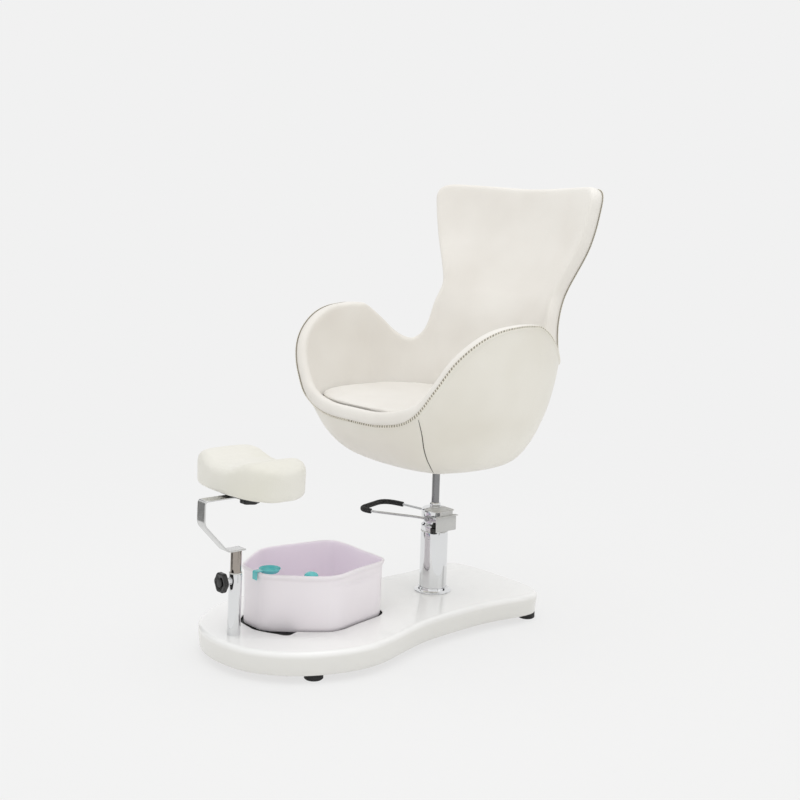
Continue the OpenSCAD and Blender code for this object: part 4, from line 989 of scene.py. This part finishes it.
# %% The rim's line
RIM = [(0, 0, 0.214), (13, 12, 0.216), (28, 27, 0.236), (40, 39, 0.276), (49, 48.5, 0.350),
       (57, 57.5, 0.429), (65, 66.5, 0.486), (73, 74.5, 0.521), (81, 82.5, 0.538), (90, 91, 0.538),
       (103, 104, 0.490), (113, 114, 0.440), (120, 121, 0.415), (126.5, 127.5, 0.408),
       (132, 132.5, 0.424), (137, 136.8, 0.462), (141, 139.2, 0.520), (145, 140.4, 0.607),
       (149, 140, 0.702), (153, 140, 0.808), (157, 140.2, 0.905), (160.5, 141, 0.962),
       (163.5, 145, 0.984), (168, 154, 0.985), (172.5, 163, 0.982), (176.5, 172, 0.978),
       (180, 180, 0.976)]
LAST = len(RIM) - 1


def station(i):
    """A station, also past either end, where the shell's other half mirrors it."""
    if i < 0:
        base, rim, rise = RIM[-i]
        return Vector((-base, -rim, rise))
    if i > LAST:
        base, rim, rise = RIM[2 * LAST - i]
        return Vector((360 - base, 360 - rim, rise))
    return Vector(RIM[i])


def rim_station(place):
    """Base turn, rim turn and rise at a place from 0, the front, to 26, the back."""
    i = min(int(math.floor(place)), LAST)
    t = place - i
    return curve(*(station(i + k) for k in (-1, 0, 1, 2)), t)


def column(place, v, depth):
    """A point of the skin: v is 0 at the bottom and 1 at the rim."""
    base, rim, rise = rim_station(place)
    return body_layer(base + (rim - base) * v * v, rise * v * v, depth)


ROLL = [(0, 1), (28, 1), (50, 0.68), (80, 0.45), (130, 0.4), (180, 0.4)]


def roll_share(turn):
    """How tall the padded roll stands at a turn: tallest in front, low at the wings."""
    return read_steps(ROLL, turn, ROLL[-1][1], soft=1)


def rim_frame(place):
    """At the rim: the way along it, the way out along the skin, and the way into the shell."""
    (base, rim, rise), step = rim_station(place), 0.5
    ahead, behind = rim_station(place + step), rim_station(place - step)
    along = body_point(ahead.y, ahead.z) - body_point(behind.y, behind.z)
    into = body_inward(rim, rise)
    return along.normalized(), along.cross(into).normalized(), into


print("rim stations:", len(RIM))

# %% [markdown]
# A skin of the shell is a grid again: each row is a function of the place round the rim, either on
# the wall at a depth, or beside the rim. The second half of every row is the first one turned over.

# %% Rows and skins of the shell
COLUMNS = 8
EVEN_PLACES = [i / COLUMNS for i in range(LAST * COLUMNS + 1)]


def wall(start_rise, share, depth, extra=None):
    """A row on the wall, from a starting height, at share 0, to the rim, at share 1."""
    def at(place):
        low = math.sqrt(start_rise / rim_station(place)[2])
        v = low + (1 - low) * share
        return column(place, v, depth + (extra(place, v) if extra else 0))
    return at


def edge(up, depth):
    """A row beside the rim: raised along the wall, at a depth."""
    def at(place):
        base, rim, rise = rim_station(place)
        return (body_layer(rim, rise, depth)
                + rim_frame(place)[1] * (0.9 + up * roll_share(abs(rim))))
    return at


def at_point(point):
    """A row that closes a skin at a point."""
    return lambda place: Vector(point)


def shell_skin(rows, places):
    """The rows over half the shell, and over the other half as its mirror image."""
    half = [[row(place) for row in rows] for place in places]
    whole = half + [[Vector((-p.x, p.y, p.z)) for p in line] for line in reversed(half[1:-1])]
    return skinned(len(whole), len(rows) - 1,
                   lambda u, v: whole[round(u * len(whole)) % len(whole)][
                       round(v * (len(rows) - 1))])


print("columns in half a skin:", len(EVEN_PLACES))

# %% [markdown]
# The padded roll that turns over the rim has one section all the way round, drawn as a smooth line:
# how far it stands up beside the rim, and how deep it lies under the skin. The stitched seam runs
# low in front, and on the arms and wings it climbs half-way up the roll, with the outer cover
# lapping over it.

# %% Section of the roll and the seam on it
PAD_OUTER = 14.7
PAD_INNER = 38.7
ROLL_HEIGHT = 34
roll_line = [Vector((-14, 4)), Vector((0, 0)), Vector((0.35 * ROLL_HEIGHT, -0.08 * PAD_INNER)),
             Vector((0.8 * ROLL_HEIGHT, 0.16 * PAD_INNER)), Vector((ROLL_HEIGHT, 0.5 * PAD_INNER)),
             Vector((0.75 * ROLL_HEIGHT, 0.88 * PAD_INNER)), Vector((0, PAD_INNER)),
             Vector((-30, PAD_INNER))]
roll_points = [curve(*four, step / 5) for four in
               zip(roll_line, roll_line[1:], roll_line[2:], roll_line[3:]) for step in range(5)]


def roll_face(up):
    """How deep the roll's outer face lies at a height on it."""
    for p, q in zip(roll_points, roll_points[1:]):
        if p.x <= up <= q.x:
            return p.y + (q.y - p.y) * (up - p.x) / max(q.x - p.x, 0.001)
    return 0


def seam_up(turn):
    """How far up the roll the seam runs, in mm, at a turn."""
    t = min(max((abs(turn) - 24) / 22, 0), 1)
    return 0.52 * ROLL_HEIGHT * t * t * (3 - 2 * t)


def lap(share, proud):
    """A row of the cover where it laps over the roll, at a share of the way up to the seam."""
    def at(place):
        up = seam_up(rim_station(place)[1]) * share
        return edge(up, roll_face(up) - proud)(place)
    return at


print("roll, mm:", ROLL_HEIGHT, "by", PAD_INNER)

# %% [markdown]
# The outer cover is one leather skin, 4 mm thick, turned in at the seam. In front, to each side, an
# open seam runs down to the rod: the leather dips into it, so the grid has more columns there.

# %% Outer cover
# The open seam: (rise, turn) from the stitched rim down to the rod
OPEN_SEAM = [(0.012, 44.5), (0.04, 42.8), (0.072, 41.5), (0.112, 39.5), (0.164, 38), (0.214, 37),
             (0.268, 36)]
SEAM_DIP = 2.6
SEAM_HALF = 2.2
COVER = 4
ROD_RISE = 0.0027


def open_seam_turn(rise):
    """The turn of the open seam at a rise, or None past its ends."""
    return read_steps(OPEN_SEAM, rise, None)


def seam_dip(place, v):
    """How deep the cover dips at a point of its skin."""
    base, rim, rise = rim_station(place)
    turn, rise = base + (rim - base) * v * v, rise * v * v
    line = open_seam_turn(rise)
    if line is None or abs(turn - line) > 4:
        return 0
    at = body_point(line, rise)
    off = math.radians(turn - line) * math.hypot(at.x, at.y)
    return SEAM_DIP * math.exp(-(off / SEAM_HALF) ** 2)


fine_places = sorted(set(EVEN_PLACES + [round(2.5 + i * 0.022, 3) for i in range(46)]))
cover_rows = [wall(ROD_RISE, i / 46, 0, seam_dip) for i in range(46)] + [wall(ROD_RISE, 0.9975, 0)]
# The lap over the roll and back under itself: (share of the way up to the seam, how proud), then
# inside
cover_rows += [lap(*row) for row in ((0.1, 0.5), (0.3, 1), (0.5, 1.3), (0.7, 1.5), (0.85, 1.6),
                                     (0.96, 1.5), (1, 0.6), (0.96, -1.2), (0.5, -2.4))]
cover_rows += [wall(ROD_RISE, 1, 2.6), wall(ROD_RISE, 0.9985, COVER)]
cover_rows += [wall(ROD_RISE, 1 - i / 12, COVER) for i in range(1, 13)] + cover_rows[:1]
new_piece("leather_cover", shell_skin(cover_rows, fine_places), "seat",
          [shell_leather], ["outer_cover"])

# %% [markdown]
# Under the leather lies the moulded core, a shell of glass fibre and resin. Little of it is ever
# seen, but it has to stay under the smooth leather, so it is the same skin again, deeper.

# %% Moulded core
CORE_FACES = (4.3, 14.4)
core_rows = [wall(ROD_RISE, 0.99 * i / 24, CORE_FACES[0]) for i in range(25)]
core_rows += [wall(ROD_RISE, 0.99 - 0.99 * i / 24, CORE_FACES[1])
              for i in range(25)] + core_rows[:1]
new_piece("moulded_core", shell_skin(core_rows, EVEN_PLACES), "seat", [raw_fibre],
          ["shell_core"])

# %% [markdown]
# Inside the open seam a dark strip is painted shade, for the shadow in the opening, widest in the
# middle of the seam. It is a thin lens-shaped strip that lies in the dip, on both sides of the
# chair.

# %% Lining of the open seams
SEAM_SHADE_RISES = (0.03, 0.262)


def seam_strip(side):
    """The lens-shaped strip of one side, 1 or -1."""
    low, high = SEAM_SHADE_RISES

    def place(u, v):
        rise = low + (high - low) * min(1, max(0, v))
        wide = 0.35 + 1.35 * math.sin(math.pi * v) ** 0.7 if 0 < v < 1 else 0
        line = open_seam_turn(rise)
        into = body_inward(line, rise)
        ahead = body_point(open_seam_turn(rise + 0.004), rise + 0.004) - body_point(line, rise)
        across = into.cross(ahead).normalized()
        point = (body_layer(line, rise, 1.7) + across * wide * math.cos(u * math.tau)
                 + into * 0.5 * wide * math.sin(u * math.tau))
        return Vector((side * point.x, point.y, point.z))
    return skinned(8, 60, place)


new_piece("open_seam_painted_shade", joined(seam_strip(1), seam_strip(-1)), "seat",
          [painted_gap_shade])

# %% [markdown]
# The padding lines the shell: a wall, a soft roll that turns over the rim and meets the cover at
# the stitched seam, and a thick floor. It is one closed skin. Its inside has the faint hollows of
# foam that has been pulled into leather by hand.

# %% Inner padding
def foam_hollow(place, v):
    """Slow hollows of the padding, fading out at the rim and at the floor."""
    fade = min(1, (1 - v) * 8) * min(1, max(0, v - 0.7) * 8)
    at = Vector((place * 0.35, v * 3.2, 0.7))
    return 1.8 * fade * noise.noise(at)


PADDING_LOW = 521.35
PADDING_FLOOR = 620.05
WALL_SHARES = [0, 0.012, 0.025, 0.04, 0.06, 0.085, 0.11, 0.14, 0.17, 0.2, 0.24, 0.28, 0.32, 0.37,
               0.42, 0.47, 0.52, 0.57, 0.62, 0.67, 0.72, 0.77, 0.82, 0.87, 0.92, 0.96, 1]
pad_rows = [at_point((0, 0, PADDING_LOW))]
pad_rows += [wall(0.0585, s, PAD_OUTER) for s in (0, 0.3, 0.6, 0.85, 1)]
pad_rows += [edge(0, PAD_OUTER)] + [edge(p.x, p.y) for p in roll_points]
pad_rows += [wall(0.1628, 1 - s, PAD_INNER, foam_hollow) for s in WALL_SHARES]
pad_rows += [at_point((0, 0, PADDING_FLOOR))]
padding = new_piece("bucket_padding", shell_skin(pad_rows, EVEN_PLACES), "seat",
                    [seat_leather], ["inner_padding"])

# %% [markdown]
# The seam between cover and padding is whipped by hand with thick thread, each stitch slanting over
# the edge, so that the seam looks like a thin rope. Between the stitches lies the fold of the seam,
# a flat cord all the way round, coloured dark as painted shade of the groove under the roll. One
# stitch is made and copied along the rim; it is drawn a little thicker than the real one, because a
# pixel of the picture is 3 mm.

# %% Whip stitches in the folded seam
STITCH_SPACE = 10
STITCH_SLANT = math.radians(55)
STITCH_HALVES = (6.6, 2.2, 2.5)
FOLD_HALVES = (4.2, 1.5)
FOLD_PROUD = 1.1


def seam_point(place):
    """A point of the stitched seam."""
    up = seam_up(rim_station(place)[1])
    return edge(up, roll_face(up))(place)


line, walked, last_point = [], 0, None
for i in range(LAST * 60 + 1):
    place = i / 60
    point = seam_point(place)
    walked += (point - last_point).length if last_point else 0
    last_point = point
    if walked >= STITCH_SPACE * len(line):
        line.append((place, point))
stitches = bmesh.new()
for place, point in line:
    along, out, into = rim_frame(place)
    lie = along * math.cos(STITCH_SLANT) + out * math.sin(STITCH_SLANT)
    for side in (1, -1):
        if side < 0 and point.x < 1:
            continue
        axes = [Vector((side * w.x, w.y, w.z)) for w in (lie, into, lie.cross(into))]
        here = Vector((side * point.x, point.y, point.z)) - axes[1] * STITCH_HALVES[1]
        turn = Matrix([a * half for a, half in zip(axes, STITCH_HALVES)]).transposed().to_4x4()
        bmesh.ops.create_uvsphere(stitches, u_segments=6, v_segments=4, radius=1,
                                  matrix=Matrix.Translation(here) @ turn @ turn_about("Y", 90))
new_piece("whip_stitches", stitches, "seat", [thread])


def fold_place(u, v):
    """The flat cord of the fold: u round its section, v all the way round the rim."""
    steps = 2 * LAST * COLUMNS
    place = (round(v * steps) % steps) / COLUMNS
    side = 1 if place <= LAST else -1
    place = place if place <= LAST else 2 * LAST - place
    along, out, into = rim_frame(place)
    point = seam_point(place) - into * FOLD_PROUD
    point += (out * FOLD_HALVES[0] * math.cos(u * math.tau)
              + into * FOLD_HALVES[1] * math.sin(u * math.tau))
    return Vector((side * point.x, point.y, point.z))


new_piece("seam_fold", skinned(8, 2 * LAST * COLUMNS, fold_place), "seat",
          [seam_fold_painted_shade])
print("stitches on half the rim:", len(line), "half length of the rim, mm:", round(walked))


# %% [markdown]
# ## Cushions
# Both cushions start a little small, and are swollen by a cloth simulation, as filling swells a
# real cover: a voxel remesh gives an even cloth, pressure pushes it out, and each point's way is
# limited by the room it has. The result is kept as plain mesh.

# %% Cloth under pressure
def puffed(bm, voxel_mm, limit):
    """Swells a closed form; limit(start, shift) gives the shift that a point may keep, in mm."""
    bmesh.ops.remove_doubles(bm, verts=bm.verts, dist=MERGE_MM)
    bmesh.ops.recalc_face_normals(bm, faces=bm.faces)
    form = new_object("cloth_form", moved(bm, Matrix.Scale(0.001, 4)))
    remesh = form.modifiers.new("even", "REMESH")
    remesh.mode = "VOXEL"
    remesh.voxel_size = voxel_mm / 1000
    bpy.context.view_layer.update()
    even = bpy.data.meshes.new_from_object(
        form.evaluated_get(bpy.context.evaluated_depsgraph_get()))
    form.modifiers.clear()
    form.data = even
    start = [v.co.copy() for v in even.vertices]
    cloth = form.modifiers.new("cloth", "CLOTH")
    cloth.settings.quality = 5
    cloth.settings.mass = 0.3
    cloth.settings.use_pressure = True
    cloth.settings.uniform_pressure_force = 4
    cloth.settings.effector_weights.gravity = 0
    cloth.point_cache.frame_start = 1
    cloth.point_cache.frame_end = 20
    for frame_number in range(1, 21):
        scene.frame_set(frame_number)
    swollen = form.evaluated_get(bpy.context.evaluated_depsgraph_get()).data
    result = bmesh.new()
    result.from_mesh(even)
    result.verts.ensure_lookup_table()
    for vert, begin, end in zip(result.verts, start, [v.co.copy() for v in swollen.vertices]):
        begin, end = begin * 1000, end * 1000
        vert.co = begin + limit(begin, end - begin)
    scene.frame_set(1)
    bpy.data.objects.remove(form)
    bmesh.ops.smooth_vert(result, verts=result.verts, factor=0.5, use_axis_x=True, use_axis_y=True,
                          use_axis_z=True)
    return result


def capped(shift, most):
    """A shift no longer than the most."""
    return shift * min(1, most / max(shift.length, 1e-6))


# %% [markdown]
# The loose seat cushion fills the floor of the bucket. Its plan is the shell's own plan, moved
# inwards, and its section turns over a soft edge to a crown. It lies flat on the padding, so its
# underside may not swell.

# %% Seat cushion
CUSHION_LOW = 620.35
CUSHION_THICK = 104
CUSHION_GAP = 49
CUSHION_INWARD = 240
GAP_RING_Z = 698
CUSHION_SHARES = [(0, 0.5), (0, 0.17), (0.03, 0.11), (0.2, 0.085), (0.45, 0.065), (0.62, 0.045),
                  (0.74, 0.022), (0.83, 0.004), (0.89, 0.006), (0.94, 0.035), (0.968, 0.085),
                  (0.985, 0.18), (0.996, 0.4), (1, 0.66), (1, 0.88)]
cushion_section = smooth_loop([Vector(s) for s in CUSHION_SHARES], 3)[3:-5]


def inside_plan(turn, z, inward):
    """A point of the shell's plan at a height, moved inwards on the level."""
    rise = (z - SHELL_LOW) / SEAT_HEIGHT
    on = body_point(turn + 2, rise) - body_point(turn - 2, rise)
    return body_point(turn, rise) + Vector((-on.y, on.x, 0)).normalized() * inward


def cushion_place(u, v):
    """The cushion's skin: u round it, v from the middle below, over the edge, to the crown."""
    rows = len(cushion_section) + 1
    j = round(v * rows)
    if j in (0, rows):
        return Vector((0, -30, CUSHION_LOW + (CUSHION_THICK + 1 if j else 0)))
    height, share = cushion_section[j - 1]
    return inside_plan(u * 360 - 180, CUSHION_LOW + max(0, height) * CUSHION_THICK,
                       CUSHION_GAP + share * CUSHION_INWARD)


def cushion_limit(start, shift):
    """A little sideways, so that a gap stays round it, a little upwards, and not downwards."""
    kept = capped(shift, 4 if start.z > CUSHION_LOW + 70 else 8)
    kept.z = min(max(kept.z, 0 if start.z < CUSHION_LOW + 20 else -2), 7)
    return kept


cushion = puffed(skinned(120, len(cushion_section) + 1, cushion_place), 7, cushion_limit)
seat_cushion = new_piece("loose_seat_cushion", cushion, "seat", [seat_leather],
                         ["seat_cushion"])
smoothing = seat_cushion.modifiers.new("even_out", "SUBSURF")
smoothing.levels = smoothing.render_levels = 1


# In the gap round the cushion a dark ring is painted shade, for the shadow down in the gap
def gap_place(u, v):
    """The ring of painted shade: u round the bucket, v round its section."""
    a = v * math.tau
    return inside_plan(u * 360 - 180, GAP_RING_Z, 52 + 16 * math.cos(a)) + Vector(
        (0, 0, 2.5 + 3 * math.sin(a)))


new_piece("cushion_gap_painted_shade", skinned(120, 10, gap_place), "seat",
          [painted_gap_shade])

# %% [markdown]
# The foot pad is a slab with a lobe under each foot and a dip between them. A slice across it is a
# rounded block whose height follows the lobes, and the slices get shorter towards both ends.

# %% Foot pad
PAD_LOW = 498.5
PAD_WIDTH = 370
PAD_DEPTH = 232
PAD_THICK = 104.8
PAD_MIDDLE = -726.02
TOP_SHARES = [(0, 0.76), (0.2, 0.785), (0.38, 0.875), (0.54, 0.97), (0.68, 1), (0.82, 0.96),
              (0.93, 0.88), (1, 0.76)]


def pad_place(u, v):
    """The pad's skin: u round a slice, v from one end to the other."""
    s = math.sin((v - 0.5) * math.pi) if 0 < v < 1 else math.copysign(1, v - 0.5)
    s = math.copysign(min(abs(s), 0.995), s) if 0 < v < 1 else s * 0.996
    a = u * math.tau
    half = PAD_DEPTH / 2 * max(0, 1 - abs(s) ** 3) ** (1 / 3) if 0 < v < 1 else 0
    top = PAD_THICK * read_steps(TOP_SHARES, abs(s), TOP_SHARES[-1][1], soft=0.6)
    waist = top * 0.42
    side = signed_power(math.cos(a), 0.34)
    if v in (0, 1):
        return Vector((s * PAD_WIDTH / 2, PAD_MIDDLE, PAD_LOW + waist))
    if math.sin(a) >= 0:
        high = waist + (top - waist) * math.sin(a) ** 0.42
    else:
        high = waist * (1 - (-math.sin(a)) ** 0.3)
    return Vector((s * PAD_WIDTH / 2, PAD_MIDDLE + half * side, PAD_LOW + max(0, high)))


def pad_limit(start, shift):
    """The pad swells a little all round, but not below its board."""
    kept = capped(shift, 3)
    kept.z = max(kept.z, 0) if start.z < PAD_LOW + 10 else kept.z
    return kept


foot_pad_form = puffed(skinned(64, 60, pad_place), 4.5, pad_limit)
foot_pad = new_piece("foot_pad", foot_pad_form, "foot_pad", [pad_leather],
                     ["pad_cushion"])
smoothing = foot_pad.modifiers.new("even_out", "SUBSURF")
smoothing.levels = smoothing.render_levels = 1

# %% [markdown]
# ## Foot tub, dish and dome
# The tub is injection moulded: a thin wall with a rolled rim that rises and falls in three waves.
# Its skin goes up outside, over the rim and down inside to the floor. Outside it is nearly white;
# inside it is pale lilac, painted light for the light that passes through the wall once more.

# %% Tub
TUB_LOW = 80
TUB_HEIGHT = 170
TUB_WALL = 4
WAVE = 2
WAVES = 3
OUTSIDE = [(0.001, 3.4, 0), (0, 1.9, 0), (0.012, 1.1, 0), (0.03, 0.7, 0), (0.1, 0.62, 0),
           (0.3, 0.45, 0.1), (0.5, 0.3, 0.2), (0.62, 0.22, 0.4), (0.7, 0.16, 0.55),
           (0.74, 0.13, 0.62), (0.77, 0.1, 0.67), (0.79, 0.08, 0.7), (0.81, 0.06, 0.73),
           (0.83, 0.05, 0.76), (0.86, 0.03, 0.82), (0.89, 0, 0.88), (0.91, -0.1, 0.9),
           (0.925, -0.6, 0.95), (0.94, -1.1, 1), (0.955, -1.4, 1), (0.975, -1.6, 1),
           (0.99, -1.5, 1), (1, -1.15, 1)]
INSIDE = [(1.004, -0.6, 1), (1.002, 0, 1), (0.99, 0.5, 1), (0.97, 0.8, 0.97), (0.94, 1, 0.93),
          (0.8, 1.25, 0.7), (0.5, 2, 0.2), (0.25, 2.8, 0.05), (0.12, 3.2, 0), (0.07, 4, 0),
          (0.045, 5.4, 0), (0.03, 8, 0), (0.026, 12, 0)]
TUB_STEPS = 256


def tub_place(u, v):
    """The tub's skin: u round it, v from the middle below, over the rim, to the floor inside."""
    rows = len(OUTSIDE) + len(INSIDE) + 1
    j = round(v * rows)
    if j in (0, rows):
        return Vector((*TUB_MIDDLE, TUB_LOW + (0.026 * TUB_HEIGHT if j else 0)))
    z, walls, wave = (OUTSIDE + INSIDE)[j - 1]
    # A soft moulded crease under the rim, for the fingers, on the two long sides
    crease = 0
    if j <= len(OUTSIDE):
        side = min(abs(u - 0.31), abs(u - 0.69))
        crease = 4 * math.exp(-((z - 0.79) / 0.03) ** 2) * max(0, 1 - (side / 0.085) ** 2)
    point = tub_inset(u, walls * TUB_WALL + crease)
    height = TUB_LOW + z * TUB_HEIGHT + wave * WAVE * math.cos(math.tau * WAVES * u)
    return Vector((point.x, point.y, height))


tub_rows = len(OUTSIDE) + len(INSIDE) + 1
# The faces inside get the painted lilac light
tub_bm = skinned(TUB_STEPS, tub_rows, tub_place, lambda u, v: int(v * tub_rows > len(OUTSIDE) + 2))
new_piece("foot_tub", tub_bm, "tub", [tub_white, tub_inside_painted_lilac_light], ["tub_basin"])


# %% [markdown]
# Two teal pieces belong to the tub. A dish hangs over the front rim by a bent tongue, and a massage
# dome is stuck on the wall, just under the rim, by a small cup. The round parts are turned.

# %% Dish and dome
def hang_height(share):
    """The top of the rim at a share of its way round."""
    return TUB_LOW + TUB_HEIGHT + WAVE * math.cos(math.tau * WAVES * share) + 0.3


def rim_hook(reach, high):
    """A tongue over the rim, drawn along -X, with its drop outside."""
    line = rounded([(0, 0, high + 1.5), (-reach - 1.5, 0, high + 1.5),
                    (-reach - 1.5, 0, high - 22)], 4, 4)

    def section(turn, share, way):
        thick = way.cross(Vector((0, 1, 0)))
        return (Vector((0, 11, 0)) * signed_power(math.cos(turn), 0.25)
                + thick * 1.5 * signed_power(math.sin(turn), 0.4))
    return swept(line, 24, section)


DISH_AT = (-14, -638)
dish_high = hang_height(0.045)
DISH_PROFILE = [(0, -9), (24.5, -9), (27.5, -7), (32.6, 2.4), (33, 3), (31.6, 3), (31, 2.4),
                (26.4, -4.4), (24.4, -6), (0, -6)]
dish_bowl = moved(lathe(DISH_PROFILE, 1.2, 3, 96, False), to(*DISH_AT, dish_high))
dish_hook = moved(rim_hook(19.5, dish_high),
                  to(*DISH_AT, 0) @ turn_about("Z", 90) @ to(-31.5, 0, 0))
new_piece("clip_dish", joined(dish_bowl, dish_hook), "dish", [teal_abs],
          ["soap_dish"])
# The dome, and the cup on the wall that carries it
DOME_LOW = 241
DOME_RADIUS = 21
DOME_RISE = 12.6
way = (tub_corners[2] - tub_corners[1]).normalized()
inwards = Vector((-way.y, way.x))
cup_middle = tub_corners[1].lerp(tub_corners[2], 0.83)
dome_at = cup_middle + way * 6 + inwards * 30
cup_at = cup_middle + inwards * 5
dome_profile = rounded([(0, -6), (DOME_RADIUS, -6), (DOME_RADIUS, 0)], 1.5, 3) + [
    Vector((DOME_RADIUS * math.cos(a), DOME_RISE * math.sin(a)))
    for a in [math.radians(90 * i / 14) for i in range(1, 15)]]
dome_shape = moved(turned(dome_profile, 64, closed=False), to(*dome_at, DOME_LOW))
cup = lathe([(0, 0), (8, 0), (8, 1), (4, 3), (2.5, 4.5), (2.5, 22), (0, 22)], 0.5, 2, 32, False)
wall_turn = math.degrees(math.atan2(inwards.y, inwards.x))
to_wall = to(*cup_at, DOME_LOW - 3) @ turn_about("Z", wall_turn) @ turn_about("Y", 90)
new_piece("massage_dome", joined(dome_shape, moved(cup, to_wall)), "dome",
          [teal_abs], ["rim_dome"])

# %% [markdown]
# ## Footrest
# A chromed post with a lip bush, an inner tube that slides in it, and a star knob on a bright boss
# that clamps it. All but the knobs are turned.

# %% Post, inner tube and boss
AT_POST = to(0, POST_Y, 0)
post = lathe([(17.5, 75.2), (19, 75.2), (19, 264), (17.5, 264)], 0.6, 2, 96)
new_piece("post_outer_tube", moved(post, AT_POST), "base", [chrome], ["post_tube"])
bush = lathe([(16.05, 252.1), (17.45, 252.1), (17.45, 264.05), (19, 264.05), (19, 267),
              (16.05, 267)],
             0.5, 2, 96)
new_piece("post_lip_bush", moved(bush, AT_POST), "base", [bush_acetal],
          ["post_bush"])
inner = turned(rounded([(14, 137.1), (16, 137.1), (16, 330.9), (0, 330.9), (0, 329), (14, 329)],
                       0.5, 2), 96)
new_piece("sliding_tube", moved(inner, AT_POST), "footrest", [tube_chrome],
          ["inner_tube"])
KNOB_Z = 244
TO_FRONT = to(0, POST_Y, KNOB_Z) @ turn_about("X", 90)
boss = lathe([(5.1, 17.8), (9, 17.8), (9, 22), (11, 23.5), (11, 37.5), (9.6, 39), (5.1, 39)], 0.7,
             2, 64)
new_piece("clamp_boss", moved(boss, TO_FRONT), "base", [chrome], ["post_boss"])


# %% [markdown]
# A star knob is moulded with six soft lobes, eased edges and a sunk middle, where the metal insert
# sits. The face is inset, pushed in, and every sharp edge is bevelled.

# %% Star knobs
LOBES = 6
LOBE_DEPTH = 1.4
KNOB_THICK = 14


def star_knob(diameter):
    """A knob with lobes round it, from z = 0 to its face."""
    outline = []
    for i in range(120):
        a = math.tau * i / 120
        r = diameter / 2 - LOBE_DEPTH * (1 - math.cos(LOBES * a))
        outline.append((r * math.cos(a), r * math.sin(a)))
    bm = plate(outline, 0, KNOB_THICK, 0)
    bm.faces.ensure_lookup_table()
    face = max(bm.faces, key=lambda f: f.calc_center_median().z)
    bmesh.ops.inset_individual(bm, faces=[face], thickness=9)
    bmesh.ops.inset_individual(bm, faces=[face], thickness=2.4, depth=-1.6)
    crisp = [e for e in bm.edges if e.calc_face_angle(0) > math.radians(60)]
    bmesh.ops.bevel(bm, geom=crisp, offset=2.6, segments=4, profile=0.5, affect="EDGES",
                    material=-1)
    return bm


KNOB_LOW = 39.8
hub = lathe([(0, 13), (12.5, 13), (12.5, 15), (11, 16.4), (0, 16.4)], 0.8, 2, 48, False)
stud = turned([(0, 16.3), (5, 16.3), (5, 40.2), (0, 40.2)], 32, closed=False)
front_knob = moved(joined(star_knob(60), hub), to(0, 0, KNOB_LOW))
new_piece("post_star_knob", moved(joined(front_knob, stud), TO_FRONT), "post_clamp",
          [knob_phenolic], ["post_knob"])
PAD_KNOB_TOP = 475.2
neck = lathe([(0, -9), (10, -9), (10, -7), (13, 0.5), (0, 0.5)], 0.8, 2, 48, False)
pad_star = moved(joined(star_knob(58), neck),
                 to(0, PAD_MIDDLE, PAD_KNOB_TOP) @ turn_about("X", 180))
new_piece("pad_star_knob", pad_star, "pad_clamp", [knob_phenolic], ["pad_knob"])

# %% [markdown]
# The bent bar is 40 by 5 mm flat steel. Its section, a block with eased corners, is skinned along a
# bent line, which is a C when it is seen from the side.

# %% Bent bar
STRAP_LOW = 331
STRAP_LINE = [(-20, 0), (40, 0), (124, 87.45), (124, 159), (-65, 159)]
strap_line = rounded([(a, b, 0) for a, b in STRAP_LINE], 13, 6)
strap_line = [strap_line[0], strap_line[0].lerp(strap_line[1], 0.02)] + strap_line[1:-1] + [
    strap_line[-1].lerp(strap_line[-2], 0.01), strap_line[-1]]
BAR_HALF = 20
BAR_THICK = 5


def bar_place(u, v):
    """The bar's skin: u round its section, v along its line."""
    last = len(strap_line) - 1
    j = min(max(round(v * (last + 2)) - 1, 0), last)
    way = (strap_line[min(j + 1, last)] - strap_line[max(j - 1, 0)]).normalized()
    left = Vector((-way.y, way.x, 0))
    a = u * math.tau
    end = round(v * (last + 2)) in (0, last + 2)
    small = 0 if end else (0.86 if j in (0, last) else 1)
    across = (signed_power(math.cos(a), 0.12) * (BAR_HALF - 1.4 * (1 - small) * 2)
              * (0 if end else 1))
    off = BAR_THICK / 2 + signed_power(math.sin(a), 0.35) * BAR_THICK / 2 * small
    point = strap_line[j] + left * off
    return Vector((across, POST_Y - point.x, STRAP_LOW + point.y))


new_piece("bent_flat_bar", skinned(48, len(strap_line) + 1, bar_place), "footrest",
          [nickel_bar], ["strap_bar"])

# %% [markdown]
# Under the pad lies a moulded board with an eased edge.

# %% Pad board
BOARD_SHARE = 0.64
board_outline = [(PAD_WIDTH / 2 * BOARD_SHARE * signed_power(math.cos(a), 2 / 3),
                  PAD_MIDDLE + PAD_DEPTH / 2 * BOARD_SHARE * signed_power(math.sin(a), 2 / 3))
                 for a in [math.tau * i / 120 for i in range(120)]]
new_piece("pad_base_board", plate(board_outline, 490.35, 498.3, 1.6, 3), "foot_pad",
          [board_black], ["pad_board"])

# %% [markdown]
# ## The other solids
# The solids inside and under the chair keep their shapes and only get their finishes.

# %% Finishes of the kept solids
KEPT = {"base_board": board_ply, "foot_screws": zinc_steel, "pump_plate": plate_paint,
        "pump_bolts": zinc_steel, "swivel_bush": bush_acetal, "post_socket": plate_paint,
        "post_screws": zinc_steel, "pump_cylinder": plate_paint, "seat_plate": plate_paint,
        "seat_bolts": zinc_steel, "pad_stud": zinc_steel}
for node_name, finish in KEPT.items():
    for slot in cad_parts[node_name].material_slots:
        slot.material = finish
print("kept solids:", len(KEPT))
